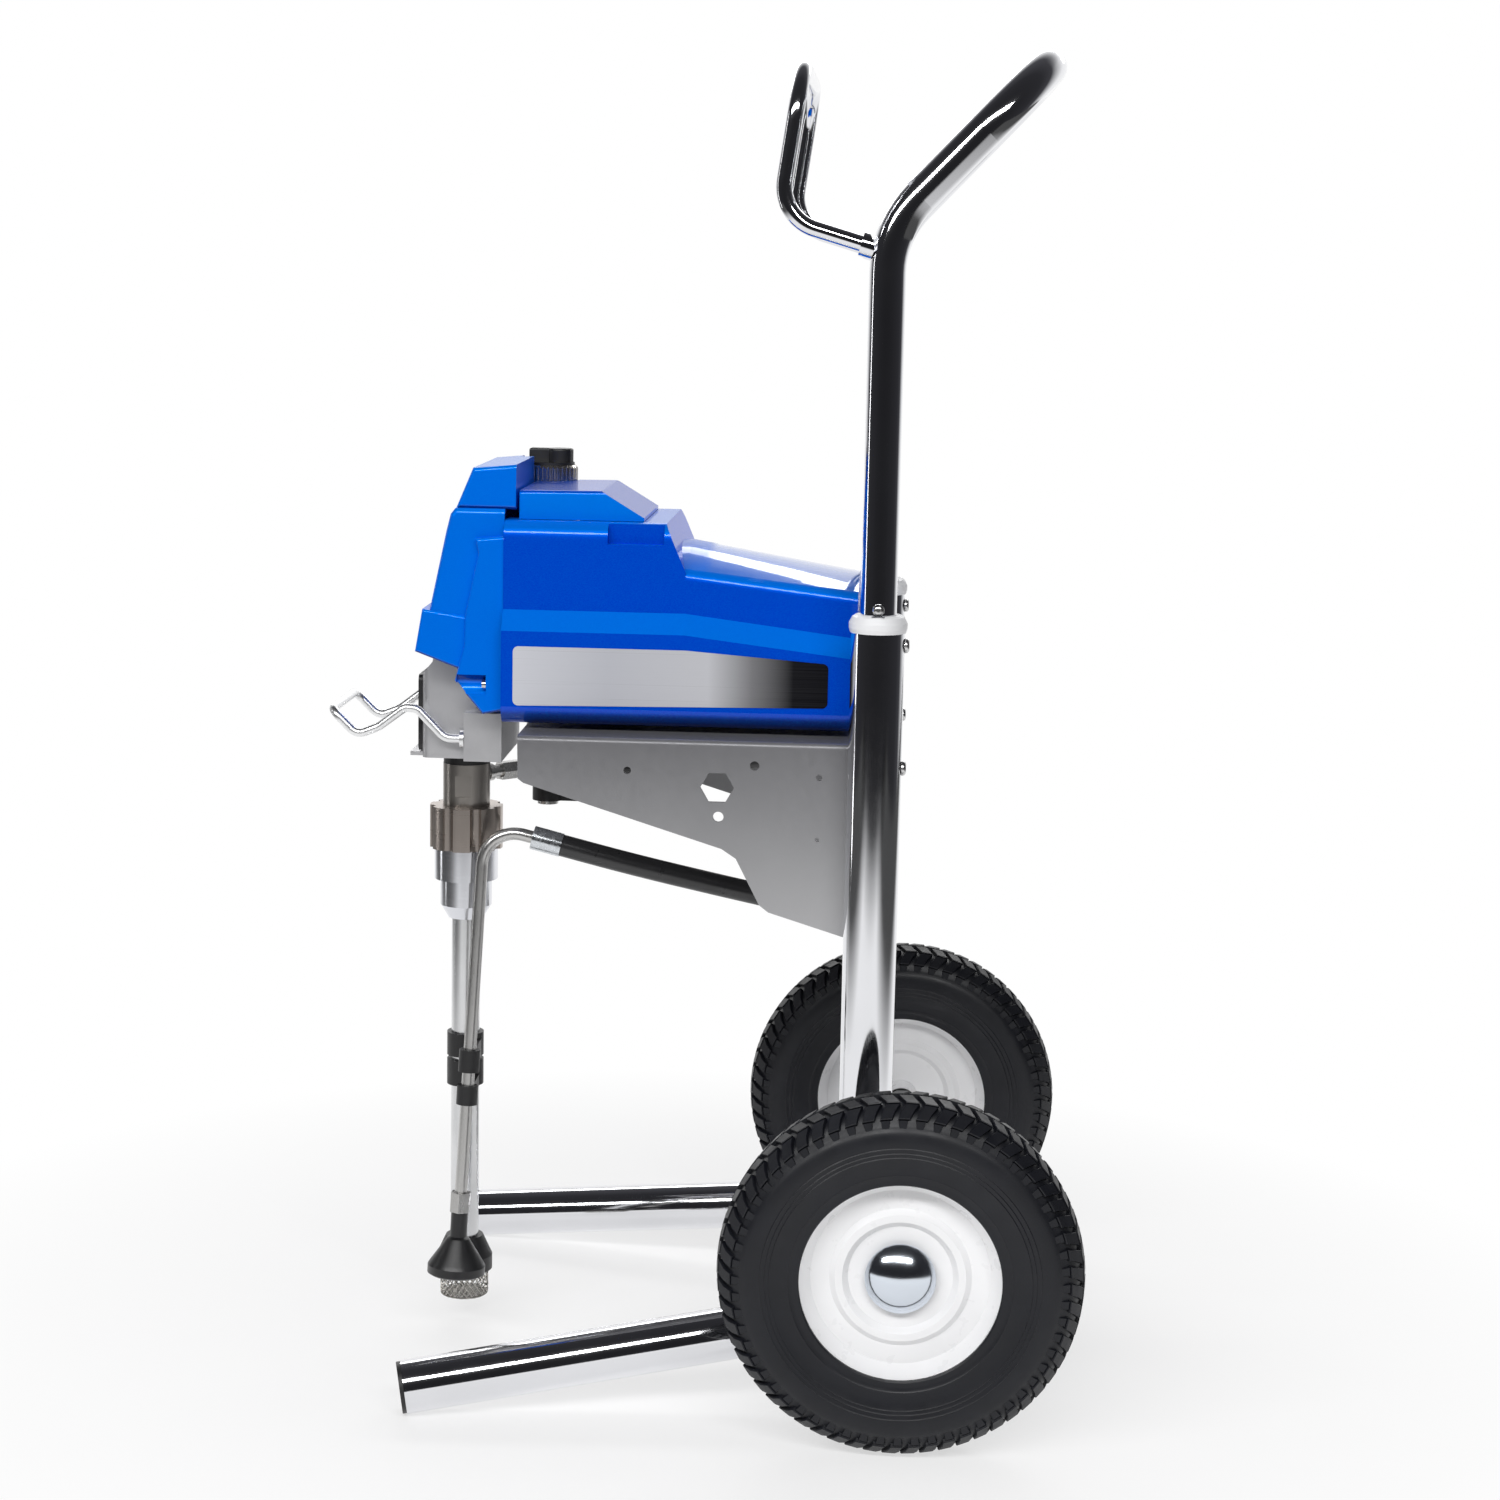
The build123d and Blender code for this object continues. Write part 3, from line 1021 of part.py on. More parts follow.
def tube_clips():
    """Two spring clips that hold the drain tube to the suction tube."""
    clips = []
    for rear, front in zip(CLIP_REAR, CLIP_FRONT):
        middle = drain_point(sum(front) / 2)
        low, high = max(rear[0], front[0]), min(rear[1], front[1])
        clip = rod((PUMP_X, 0, rear[0]), (PUMP_X, 0, rear[1]), SUCTION_R + CLIP_WALL)
        clip += rod(drain_point(front[0]), drain_point(front[1]), DRAIN_R + CLIP_WALL)
        clip += block((middle.X - 4.5, middle.X + 4.5), (middle.Y, 0), (low, high))
        clip -= rod((PUMP_X, 0, rear[0] - 5), (PUMP_X, 0, rear[1] + 5), SUCTION_R + WELD)
        clip -= rod(drain_point(front[0] - 5), drain_point(front[1] + 5), DRAIN_R + WELD)
        clips.append(clip)
    return group(*clips)


def hose_axis():
    """Direction of the hose where it leaves the ferrule."""
    return (Vector(*FERRULE_END) - Vector(*FERRULE_START)).normalized()


def hose_ferrules():
    """Crimped ferrule at each end of the drain hose."""
    along = hose_axis()
    start, end = Vector(*FERRULE_START), Vector(*FERRULE_END)
    front = rod(start, end, FERRULE_R) - rod(start + along * 3.0, end + along, HOSE_R + WELD)
    front -= rod(start - along, end, DRAIN_R + WELD)
    start, end = valve_port(), valve_port() + Vector(22.0, 0, 0)
    back = rod(start + Vector(2.0, 0, 0), end, FERRULE_R)
    back -= rod(start + Vector(4.0, 0, 0), end + Vector(1, 0, 0), HOSE_R + WELD)
    return group(front, back - rod(start, end, DRAIN_R + WELD))


def valve_port():
    """Point where the drain hose meets the prime valve."""
    return Vector(MANIFOLD[0] + MANIFOLD_R + 2.0, MANIFOLD[1], NIPPLE_Z)


def drain_hose():
    """Drain hose, looped below the bracket to the prime valve."""
    along = hose_axis()
    first = Vector(*FERRULE_START) + along * 3.5
    last = valve_port() + Vector(4.5, 0, 0)
    leaving = Vector(*FERRULE_END) + along * HOSE_FRONT_RUN
    arriving = valve_port() + Vector(HOSE_BACK_RUN, 0, 0)
    points = [tuple(first), tuple(leaving), *HOSE_ROUTE, tuple(arriving), tuple(last)]
    radii = []
    for before, corner, after in zip(points, points[1:], points[2:]):
        into, out = Vector(*corner) - Vector(*before), Vector(*after) - Vector(*corner)
        radii.append(0.45 * min(into.length, out.length) / math.tan(math.radians(into.get_angle(out) / 2)))
    print("drain hose bend radii", [round(radius, 1) for radius in radii])
    return pipe(points, radii, HOSE_R, HOSE_BORE_R)


# ---- Manifold


def nipple_line():
    """Axis of the nipple from the pump to the manifold."""
    start, end = Vector(PUMP_X, 0, NIPPLE_Z), Vector(*MANIFOLD, NIPPLE_Z)
    along = (end - start).normalized()
    return start + along * (PUMP_R - 3.0), end - along * (MANIFOLD_R - 1.2)


def outlet_nipple():
    """Nipple and swivel nut from the pump to the manifold."""
    start, end = nipple_line()
    along = (end - start).normalized()
    tube = rod(start + along * WELD, end - along * 0.2, 5.0)
    tube += rod(start + along * 4.5, start + along * 9.0, 6.6)
    nut = hexagon_bar(start + along * 17.0, end - along * 2.2, 13.0)
    return tube + nut


def filter_manifold():
    """Vertical filter body, open at the top for the filter."""
    x, y = MANIFOLD
    body = turned([(0, MANIFOLD_BOTTOM), (MANIFOLD_R, MANIFOLD_BOTTOM), (MANIFOLD_R, MANIFOLD_TOP - 12.0),
                   (MANIFOLD_R - 1.5, MANIFOLD_TOP - 12.0), (MANIFOLD_R - 1.5, MANIFOLD_TOP + 16.0),
                   (FILTER_R + 0.8, MANIFOLD_TOP + 16.0), (FILTER_R + 0.8, MANIFOLD_BOTTOM + 36.0),
                   (0, MANIFOLD_BOTTOM + 36.0)], MANIFOLD)
    start, end = nipple_line()
    body -= rod(start, end + (end - start).normalized() * 0.1, 5.0 + WELD)
    body -= rod((x + MANIFOLD_R - 6.0, y, NIPPLE_Z), (x + MANIFOLD_R + 5.0, y, NIPPLE_Z), DRAIN_R + WELD)
    body -= rod((x, y + MANIFOLD_R - 6.0, NIPPLE_Z), (x, y + 30.0, NIPPLE_Z), OUTLET_THREAD_R + WELD)
    return body - rod((x, y, MANIFOLD_BOTTOM - 1), (x, y, MANIFOLD_BOTTOM + 8.0), VALVE_R - 2.0 + WELD)


def pump_filter():
    """Pleated pump filter inside the manifold."""
    low, high = MANIFOLD_BOTTOM + 36.0 + WELD, MANIFOLD_TOP + 12.0
    return turned([(FILTER_R - 3.0, low), (FILTER_R, low), (FILTER_R, high), (FILTER_R - 3.0, high)], MANIFOLD)


def filter_cap_ring():
    """Knurled metal ring of the filter cap."""
    inner = MANIFOLD_R - 1.5 + RUNNING
    low, high = RING_Z
    ring = turned([(inner, low), (RING_R, low), (RING_R, high - 2.0), (RING_R - 1.5, high),
                   (inner, high)])
    for index in range(RING_FLUTES):
        angle = 2 * math.pi * index / RING_FLUTES
        x, y = (RING_R + 0.5) * math.cos(angle), (RING_R + 0.5) * math.sin(angle)
        ring -= rod((x, y, low + 3.0), (x, y, high + 1), 1.2)
    return Pos(*MANIFOLD, 0) * ring


def filter_cap():
    """Black cap that closes the filter: a disc with a grip bar."""
    inner = MANIFOLD_R - 1.5 + RUNNING - WELD
    cap = Pos(0, 0, 652.0) * Cylinder(inner, RING_Z[1] - 652.0, align=BASE)
    cap += Pos(0, 0, RING_Z[1] + WELD) * Cylinder(RING_R - 2.5, 2.0, align=BASE)
    bar = block((-16.0, 16.0), (-6.0, 6.0), (RING_Z[1], KNOB_TOP))
    bar += Pos(7.0, 0, RING_Z[1]) * Cylinder(10.0, KNOB_TOP - RING_Z[1], align=BASE)
    bar = fillet(bar.edges().group_by(Axis.Z)[-1], 1.5)
    return Pos(*MANIFOLD, 0) * (cap + bar)


def outlet_fitting():
    """Threaded outlet that the spray hose screws onto."""
    x, y = MANIFOLD
    start = y + MANIFOLD_R - 6.0
    end = y + MANIFOLD_R + 10.0
    fitting = rod((x, start + WELD, NIPPLE_Z), (x, end, NIPPLE_Z), OUTLET_THREAD_R)
    fitting += hexagon_bar((x, y + MANIFOLD_R + 2.0, NIPPLE_Z), (x, end, NIPPLE_Z), 17.0)
    fitting += rod((x, end, NIPPLE_Z), (x, end + OUTLET_LENGTH, NIPPLE_Z), OUTLET_THREAD_R)
    return fitting - rod((x, start - 1, NIPPLE_Z), (x, end + OUTLET_LENGTH + 1, NIPPLE_Z), 3.2)


def prime_valve():
    """Prime valve: cartridge below the manifold and the hose barb behind it."""
    x, y = MANIFOLD
    neck = VALVE_R - 2.0
    stem = rod((x, y, LEVER_Z[0] - 1.0), (x, y, MANIFOLD_BOTTOM + 7.0), neck - 3.0)
    stem += rod((x, y, LEVER_Z[1] + LOOSE), (x, y, MANIFOLD_BOTTOM + 7.0), neck)
    stem += rod((x, y, LEVER_Z[0] - 3.0), (x, y, LEVER_Z[0] - LOOSE), VALVE_R - 1.0)
    port = valve_port()
    barb = rod((x + MANIFOLD_R - 5.8, y, NIPPLE_Z), tuple(port + Vector(20.0, 0, 0)), DRAIN_R)
    return group(stem, barb)


def prime_lever():
    """Black lever that turns the prime valve."""
    x, y = MANIFOLD
    low, high = LEVER_Z
    lever = rod((x, y, low), (x, y, high), 12.0)
    arm = prism([(x, low), (x + LEVER_REACH, low), (x + LEVER_REACH, low + 3.5), (x + 8.0, high), (x, high)], 6.0, y)
    lever += fillet(arm.edges().filter_by(Axis.Z).sort_by(Axis.X)[-2:], 3.0)
    return lever - rod((x, y, low - 1), (x, y, high + 1), VALVE_R - 5.0 + RUNNING)


# ---- Controls


def control_box():
    """Control housing on the right of the shield, with the cord gland below it."""
    y0 = LOWER_HALF + WELD
    y1 = y0 + BOX_DEPTH
    box = block(BOX_X, (y0, y1), BOX_Z)
    box = fillet(box.edges().filter_by(Axis.Y), 6.0)
    outer_rim = box.faces().sort_by(Axis.Y)[-1]
    box = fillet(outer_rim.edges(), 2.0)
    box -= block((BOX_X[0] + WALL, BOX_X[1] - WALL), (y0 - 1, y1 - WALL), (BOX_Z[0] + WALL, BOX_Z[1] - WALL))
    middle = sum(BOX_Z) / 2
    box -= rod((KNOB_X, y1 - 10, middle), (KNOB_X, y1 + 1, middle), 4.0 + RUNNING)
    box -= block((SWITCH_X - 11.0, SWITCH_X + 11.0), (y1 - 10, y1 + 1), (middle - 7.0, middle + 7.0))
    gland_x = BOX_X[1] - 14.0
    box -= rod((gland_x, y0 + 10, BOX_Z[0] - 1), (gland_x, y0 + 10, BOX_Z[0] + 6), 6.0)
    gland = rod((gland_x, y0 + 10, BOX_Z[0] - 10), (gland_x, y0 + 10, BOX_Z[0] + 5), 6.0 - WELD)
    gland += rod((gland_x, y0 + 10, BOX_Z[0] - 8), (gland_x, y0 + 10, BOX_Z[0] - WELD), 8.0)
    gland -= rod((gland_x, y0 + 10, BOX_Z[0] - 12), (gland_x, y0 + 10, BOX_Z[0] + 6), 4.2)
    return group(box, gland)


def pressure_knob():
    """Pressure control knob on its shaft."""
    y1 = LOWER_HALF + WELD + BOX_DEPTH
    middle = sum(BOX_Z) / 2
    knob = rod((KNOB_X, y1 + LOOSE, middle), (KNOB_X, y1 + 16.0, middle), KNOB_R)
    knob = fillet(knob.edges().group_by(Axis.Y)[-1], 2.0)
    for index in range(12):
        angle = math.radians(index * 30)
        x, z = KNOB_X + (KNOB_R + 1) * math.cos(angle), middle + (KNOB_R + 1) * math.sin(angle)
        knob -= rod((x, y1 + 3.0, z), (x, y1 + 20.0, z), 2.4)
    return knob + rod((KNOB_X, y1 - 12.0, middle), (KNOB_X, y1 + 2.0, middle), 4.0)


def power_switch():
    """Rocker of the power switch."""
    y1 = LOWER_HALF + WELD + BOX_DEPTH
    middle = sum(BOX_Z) / 2
    half, thick = 9.5, 6.2
    outline_points = [(-half, -5.0), (half, -5.0), (half, 0.6), (0, 1.2), (-half, 3.6)]
    rocker = extrude(Plane.XY * Polygon(*outline_points, align=None), amount=thick, both=True)
    rocker += rod((0, -SWITCH_PIVOT_IN, -thick - 0.6), (0, -SWITCH_PIVOT_IN, thick + 0.6), 1.5)
    return Pos(SWITCH_X, y1, middle) * rocker


PARTS = {
    "left_side_tube": lambda: side_tube(-1),
    "right_side_tube": lambda: side_tube(1),
    "leg_plugs": leg_plugs,
    "axle_brackets": axle_brackets,
    "axle": axle,
    "hub_caps": hub_caps,
    "left_tyre": lambda: tyre(-1),
    "left_rim": lambda: rim(-1),
    "left_wheel_bushes": lambda: wheel_bushes(-1),
    "right_tyre": lambda: tyre(1),
    "right_rim": lambda: rim(1),
    "right_wheel_bushes": lambda: wheel_bushes(1),
    "handle_sleeves": handle_sleeves,
    "small_screws": small_screws,
    "handle_tube": handle_tube,
    "left_snap_button": lambda: snap_button(-1),
    "right_snap_button": lambda: snap_button(1),
    "snap_clips": snap_clips,
    "hose_rack": hose_rack,
    "bracket": bracket,
    "bracket_bolts": bracket_bolts,
    "motor_shield": motor_shield,
    "top_deck": top_deck,
    "front_cover": front_cover,
    "side_label": side_label,
    "motor_can": motor_can,
    "armature": armature,
    "motor_end_bell": motor_end_bell,
    "cooling_fan": cooling_fan,
    "combination_gear": combination_gear,
    "crankshaft": crankshaft,
    "connecting_rod": connecting_rod,
    "piston_rod": piston_rod,
    "gear_case": gear_case,
    "drive_housing": drive_housing,
    "rod_shield": rod_shield,
    "pail_hook": pail_hook,
    "pump_cylinder": pump_cylinder,
    "pump_cuff": pump_cuff,
    "jam_nut": jam_nut,
    "intake_housing": intake_housing,
    "suction_tube": suction_tube,
    "strainer_body": strainer_body,
    "strainer_mesh": strainer_mesh,
    "drain_tube": drain_tube,
    "deflector": deflector,
    "tube_clips": tube_clips,
    "hose_ferrules": hose_ferrules,
    "drain_hose": drain_hose,
    "outlet_nipple": outlet_nipple,
    "filter_manifold": filter_manifold,
    "pump_filter": pump_filter,
    "filter_cap_ring": filter_cap_ring,
    "filter_cap": filter_cap,
    "outlet_fitting": outlet_fitting,
    "prime_valve": prime_valve,
    "prime_lever": prime_lever,
    "control_box": control_box,
    "pressure_knob": pressure_knob,
    "power_switch": power_switch,
}

os.makedirs("parts", exist_ok=True)
for name, make in PARTS.items():
    export_step(Pos(FRAME_SHIFT, 0, 0) * make(), f"parts/{name}.step")
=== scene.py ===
import json
import math

import bmesh
import bpy
from mathutils import Matrix, Vector


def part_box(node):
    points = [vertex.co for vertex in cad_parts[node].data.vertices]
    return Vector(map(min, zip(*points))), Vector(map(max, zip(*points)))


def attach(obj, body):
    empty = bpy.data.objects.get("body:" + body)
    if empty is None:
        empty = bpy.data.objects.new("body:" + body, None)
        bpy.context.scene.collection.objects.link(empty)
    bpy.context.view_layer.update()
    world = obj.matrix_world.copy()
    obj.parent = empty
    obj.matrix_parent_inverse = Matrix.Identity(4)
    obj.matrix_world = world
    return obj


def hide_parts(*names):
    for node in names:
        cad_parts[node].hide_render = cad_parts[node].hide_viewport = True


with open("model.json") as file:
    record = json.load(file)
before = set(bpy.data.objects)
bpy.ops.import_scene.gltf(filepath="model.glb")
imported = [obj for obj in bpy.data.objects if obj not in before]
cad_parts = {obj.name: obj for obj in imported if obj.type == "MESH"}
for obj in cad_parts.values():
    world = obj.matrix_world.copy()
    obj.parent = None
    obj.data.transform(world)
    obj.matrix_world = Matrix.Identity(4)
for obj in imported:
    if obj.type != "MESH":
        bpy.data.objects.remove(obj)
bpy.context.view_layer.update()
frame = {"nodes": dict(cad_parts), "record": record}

NODES = frame["nodes"]
SCENE = bpy.context.scene
SCENE.view_settings.view_transform = "Standard"
WHITE = (1.0, 1.0, 1.0)


# ---- Camera, from a fit to the photograph: angles in radians, focal length in photo pixels

YAW, PITCH, ROLL = -0.04811, 0.15828, 0.02017
CAMERA_PLACE = (0.13641, -2.19592, 0.80300)
FOCAL_PIXELS = 2964.7
PHOTO_PIXELS = 1500
SENSOR_MM = 36.0


def make_camera():
    forward = Vector((math.sin(YAW) * math.cos(PITCH), math.cos(YAW) * math.cos(PITCH), -math.sin(PITCH)))
    right = Vector((math.cos(YAW), -math.sin(YAW), 0.0))
    up = right.cross(forward)
    right_rolled = math.cos(ROLL) * right + math.sin(ROLL) * up
    up_rolled = -math.sin(ROLL) * right + math.cos(ROLL) * up
    data = bpy.data.cameras.new("camera")
    data.lens = FOCAL_PIXELS / PHOTO_PIXELS * SENSOR_MM
    data.sensor_width = SENSOR_MM
    data.clip_end = 100.0
    camera = bpy.data.objects.new("camera", data)
    SCENE.collection.objects.link(camera)
    turn = Matrix((right_rolled, up_rolled, -forward)).transposed().to_4x4()
    camera.matrix_world = Matrix.Translation(CAMERA_PLACE) @ turn
    SCENE.camera = camera


make_camera()


# ---- Node helpers

class Nodes:
    """Short names for the shader nodes of one material or world."""

    def __init__(self, tree):
        self.tree = tree
        tree.nodes.clear()

    def add(self, kind, **settings):
        node = self.tree.nodes.new(kind)
        for key, value in settings.items():
            setattr(node, key, value)
        return node

    def link(self, start, end):
        self.tree.links.new(start, end)

    def put(self, socket, value):
        """Link a socket, or set a plain value."""
        if isinstance(value, bpy.types.NodeSocket):
            self.link(value, socket)
        else:
            socket.default_value = value

    def math(self, kind, a, b=0.0):
        node = self.add("ShaderNodeMath", operation=kind)
        self.put(node.inputs[0], a)
        self.put(node.inputs[1], b)
        return node.outputs[0]

    def position(self):
        return self.add("ShaderNodeTexCoord").outputs["Object"]

    def scaled(self, scale):
        """Object position, stretched by a scale for each axis."""
        node = self.add("ShaderNodeMapping")
        node.inputs["Scale"].default_value = scale
        self.link(self.position(), node.inputs["Vector"])
        return node.outputs[0]

    def noise(self, scale, detail=3.0, rough=0.55, vector=None):
        node = self.add("ShaderNodeTexNoise")
        node.inputs["Scale"].default_value = scale
        node.inputs["Detail"].default_value = detail
        node.inputs["Roughness"].default_value = rough
        self.link(vector or self.position(), node.inputs["Vector"])
        return node.outputs[0]

    def cells(self, scale):
        """Three random numbers for each small cell."""
        node = self.add("ShaderNodeTexVoronoi")
        node.inputs["Scale"].default_value = scale
        self.link(self.position(), node.inputs["Vector"])
        parts = self.add("ShaderNodeSeparateColor")
        self.link(node.outputs["Color"], parts.inputs[0])
        return parts.outputs

    def span(self, value, low, high, out_low, out_high):
        """Value from low..high to out_low..out_high, held at the ends."""
        node = self.add("ShaderNodeMapRange")
        self.put(node.inputs["Value"], value)
        for name, number in zip(("From Min", "From Max", "To Min", "To Max"), (low, high, out_low, out_high)):
            self.put(node.inputs[name], number)
        return node.outputs[0]

    def ramp(self, value, stops, smooth=False):
        """Colour from (place, colour) stops."""
        node = self.add("ShaderNodeValToRGB")
        node.color_ramp.interpolation = "EASE" if smooth else "LINEAR"
        elements = node.color_ramp.elements
        while len(elements) < len(stops):
            elements.new(0.5)
        for element, (place, colour) in zip(elements, stops):
            element.position = place
            element.color = (*colour, 1.0)
        self.put(node.inputs[0], value)
        return node.outputs[0]

    def blend(self, factor, a, b):
        """Colour a at factor 0, colour b at factor 1; inputs 6 and 7 are the mix node's colours."""
        node = self.add("ShaderNodeMix", data_type="RGBA")
        self.put(node.inputs["Factor"], factor)
        for socket, value in zip((node.inputs[6], node.inputs[7]), (a, b)):
            self.put(socket, value if isinstance(value, bpy.types.NodeSocket) else (*value, 1.0))
        return node.outputs[2]

    def axes(self, vector=None):
        node = self.add("ShaderNodeSeparateXYZ")
        self.link(vector or self.position(), node.inputs[0])
        return node.outputs

    def bump(self, height, distance, strength):
        node = self.add("ShaderNodeBump")
        node.inputs["Strength"].default_value = strength
        node.inputs["Distance"].default_value = distance
        self.put(node.inputs["Height"], height)
        return node.outputs[0]


def material(name, colour, rough, metal=0.0, coat=0.0, coat_rough=0.03, specular=None):
    """New material, its nodes and its shader's inputs; the caller links what varies."""
    made = bpy.data.materials.new(name)
    made.use_nodes = True
    nodes = Nodes(made.node_tree)
    output = nodes.add("ShaderNodeOutputMaterial")
    shader = nodes.add("ShaderNodeBsdfPrincipled")
    nodes.link(shader.outputs[0], output.inputs[0])
    shader.inputs["Base Color"].default_value = (*colour, 1.0)
    shader.inputs["Roughness"].default_value = rough
    shader.inputs["Metallic"].default_value = metal
    shader.inputs["Coat Weight"].default_value = coat
    shader.inputs["Coat Roughness"].default_value = coat_rough
    if specular is not None:
        shader.inputs["Specular IOR Level"].default_value = specular
    made.diffuse_color = (*colour, 1.0)
    return made, nodes, shader.inputs


# Noise stays near its middle, so one of these ranges of it is stretched to the full one.
NARROW, WIDE = (0.35, 0.65), (0.3, 0.7)


def vary_rough(n, inputs, pattern, low, high):
    n.put(inputs["Roughness"], n.span(pattern, *WIDE, low, high))


def vary_colour(n, inputs, pattern, colour, other, spread=NARROW):
    n.put(inputs["Base Color"], n.blend(n.span(pattern, *spread, 0.0, 1.0), colour, other))


def shade(colour, share):
    return tuple(channel * share for channel in colour)


# ---- Metals: colour, then the lowest and highest roughness

def chrome(name, colour, low=0.07, high=0.1):
    made, n, s = material(name, colour, low, metal=1.0)
    vary_rough(n, s, n.noise(30.0), low, high)
    vary_colour(n, s, n.noise(9.0, 2.0), colour, shade(colour, 0.95))
    n.put(s["Normal"], n.bump(n.noise(55.0, 2.0), 0.00004, 0.2))
    return made


ALONG, ROUND = (1.0, 1.0, 0.02), (0.02, 0.02, 1.0)


def drawn_metal(name, colour, low, high, lie=ALONG, grain=700.0, depth=0.00004, tint=0.9):
    """Metal with fine lines, which lie along a drawn tube or round a turned part."""
    made, n, s = material(name, colour, low, metal=1.0)
    lines = n.noise(grain, 3.0, vector=n.scaled(lie))
    vary_rough(n, s, lines, low, high)
    vary_colour(n, s, n.noise(24.0, 4.0), colour, shade(colour, tint))
    n.put(s["Normal"], n.bump(lines, depth, 0.6))
    return made


def cast_metal(name, colour):
    made, n, s = material(name, colour, 0.42, metal=0.85)
    grain = n.noise(900.0, 4.0, 0.7)
    vary_rough(n, s, grain, 0.36, 0.52)
    vary_colour(n, s, n.noise(35.0, 4.0), colour, shade(colour, 0.88), WIDE)
    n.put(s["Normal"], n.bump(grain, 0.00012, 0.5))
    return made


def zinc(name, colour):
    """Plated metal whose small crystals differ in gloss and tone."""
    made, n, s = material(name, colour, 0.26, metal=1.0)
    spangle = n.cells(420.0)
    n.put(s["Roughness"], n.span(spangle[0], 0.0, 1.0, 0.2, 0.34))
    n.put(s["Base Color"], n.blend(spangle[1], colour, shade(colour, 0.9)))
    n.put(s["Normal"], n.bump(n.noise(500.0), 0.00006, 0.5))
    return made


def bracket_grey(name):
    """Satin grey plate with painted shade at the top and painted light lower down: it gets paler downwards,
    from 0.47 m to 0.34 m above the floor.
    """
    dark, pale = (0.185, 0.185, 0.195), (0.50, 0.50, 0.51)
    made, n, s = material(name, dark, 0.4, metal=0.35)
    # Painted light: paler towards the floor, with painted shade at the top.
    painted_light_below = n.span(n.axes()[2], 0.47, 0.34, 0.0, 0.9)
    cloud = n.span(n.noise(7.0, 2.0), *WIDE, -0.06, 0.06)
    n.put(s["Base Color"], n.blend(n.math("ADD", painted_light_below, cloud), dark, pale))
    vary_rough(n, s, n.noise(180.0), 0.33, 0.47)
    n.put(s["Normal"], n.bump(n.noise(1100.0, 2.0), 0.00006, 0.5))
    return made


# ---- Paint, plastic, rubber

BLUE_SPECULAR = (0.02, 0.22, 1.0, 1.0)
FLAKE_BLUE = (0.0, 0.30, 0.95)
COAT_BASE = 0.5
CROWN_LENGTH = 0.105    # glossy top of the motor shield, counted from its far end along x
CROWN_FADE = 0.006


def blue_paint(name, deep, bright, painted_under_shade, gloss=0.2):
    """Metallic blue with fine flakes, with painted light and shade set by the way a face looks: faces that
    look down are darker, faces that look up take their own tone, and the shield's crown is glossier.
    """
    made, n, s = material(name, deep, 0.4, metal=0.3, coat=0.15, coat_rough=0.05, specular=0.05)
    s["Specular Tint"].default_value = BLUE_SPECULAR
    up = n.axes(n.add("ShaderNodeNewGeometry").outputs["Normal"])[2]
    # Painted light and shade: the colour follows which way a face looks, darkest for faces that look down.
    stops = [(0.25, painted_under_shade), (0.47, deep), (0.55, deep), (0.80, bright)]
    painted_facing_light = n.ramp(n.span(up, -1.0, 1.0, 0.0, 1.0), stops, smooth=True)
    flake = n.cells(2600.0)
    n.put(s["Base Color"], n.blend(n.span(flake[0], 0.0, 1.0, 0.0, 0.16), painted_facing_light, FLAKE_BLUE))
    n.put(s["Roughness"], n.span(flake[1], 0.0, 1.0, 0.34, 0.46))
    n.put(s["Normal"], n.bump(flake[2], 0.00003, 0.2))
    n.put(s["Metallic"], n.span(up, 0.5, 0.9, 0.3, 0.0))
    crown_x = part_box("motor_shield")[1].x - CROWN_LENGTH
    rear = n.span(n.axes()[0], crown_x - CROWN_FADE, crown_x, 0.0, 1.0)
    crown = n.math("MULTIPLY", n.span(up, 0.72, 0.9, 0.0, gloss), rear)
    n.put(s["Coat Weight"], n.math("ADD", crown, COAT_BASE))
    n.put(s["Coat Normal"], n.bump(n.noise(260.0, 2.0), 0.00004, 0.1))
    return made


def label_film(name):
    """Brushed silver film that fades to black towards the rear."""
    made, n, s = material(name, (0.6, 0.61, 0.64), 0.3, metal=0.25, specular=0.05)
    low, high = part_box("side_label")
    across = n.span(n.axes()[0], low.x, high.x, 0.0, 1.0)
    stops = [(0.0, (0.68, 0.69, 0.74)), (0.30, (0.56, 0.57, 0.62)), (0.62, (0.62, 0.625, 0.66)),
             (0.76, (0.22, 0.22, 0.23)), (0.89, (0.006, 0.006, 0.008)), (1.0, (0.004, 0.004, 0.006))]
    fade = n.ramp(across, stops)
    grain = n.noise(2.0, 3.0, vector=n.scaled((1.0, 1.0, 900.0)))
    n.put(s["Base Color"], n.blend(n.span(grain, *WIDE, 0.0, 0.05), fade, (0.3, 0.3, 0.32)))
    vary_rough(n, s, grain, 0.26, 0.36)
    n.put(s["Normal"], n.bump(grain, 0.00002, 0.3))
    return made


def moulded(name, colour, low, high, depth=0.00008, grain=1400.0, specular=0.5, tint=0.75):
    """Moulded plastic or rubber with a fine skin."""
    made, n, s = material(name, colour, low, specular=specular)
    vary_rough(n, s, n.noise(60.0), low, high)
    vary_colour(n, s, n.noise(40.0), colour, shade(colour, tint), WIDE)
    n.put(s["Normal"], n.bump(n.noise(grain, 2.0), depth, 0.5))
    return made


def rim_paint(name):
    made, n, s = material(name, (0.90, 0.90, 0.91), 0.3, coat=0.4, coat_rough=0.1)
    vary_rough(n, s, n.noise(90.0), 0.26, 0.36)
    vary_colour(n, s, n.noise(14.0), (0.92, 0.92, 0.93), (0.86, 0.86, 0.87))
    n.put(s["Normal"], n.bump(n.noise(120.0, 2.0), 0.0001, 0.2))
    return made


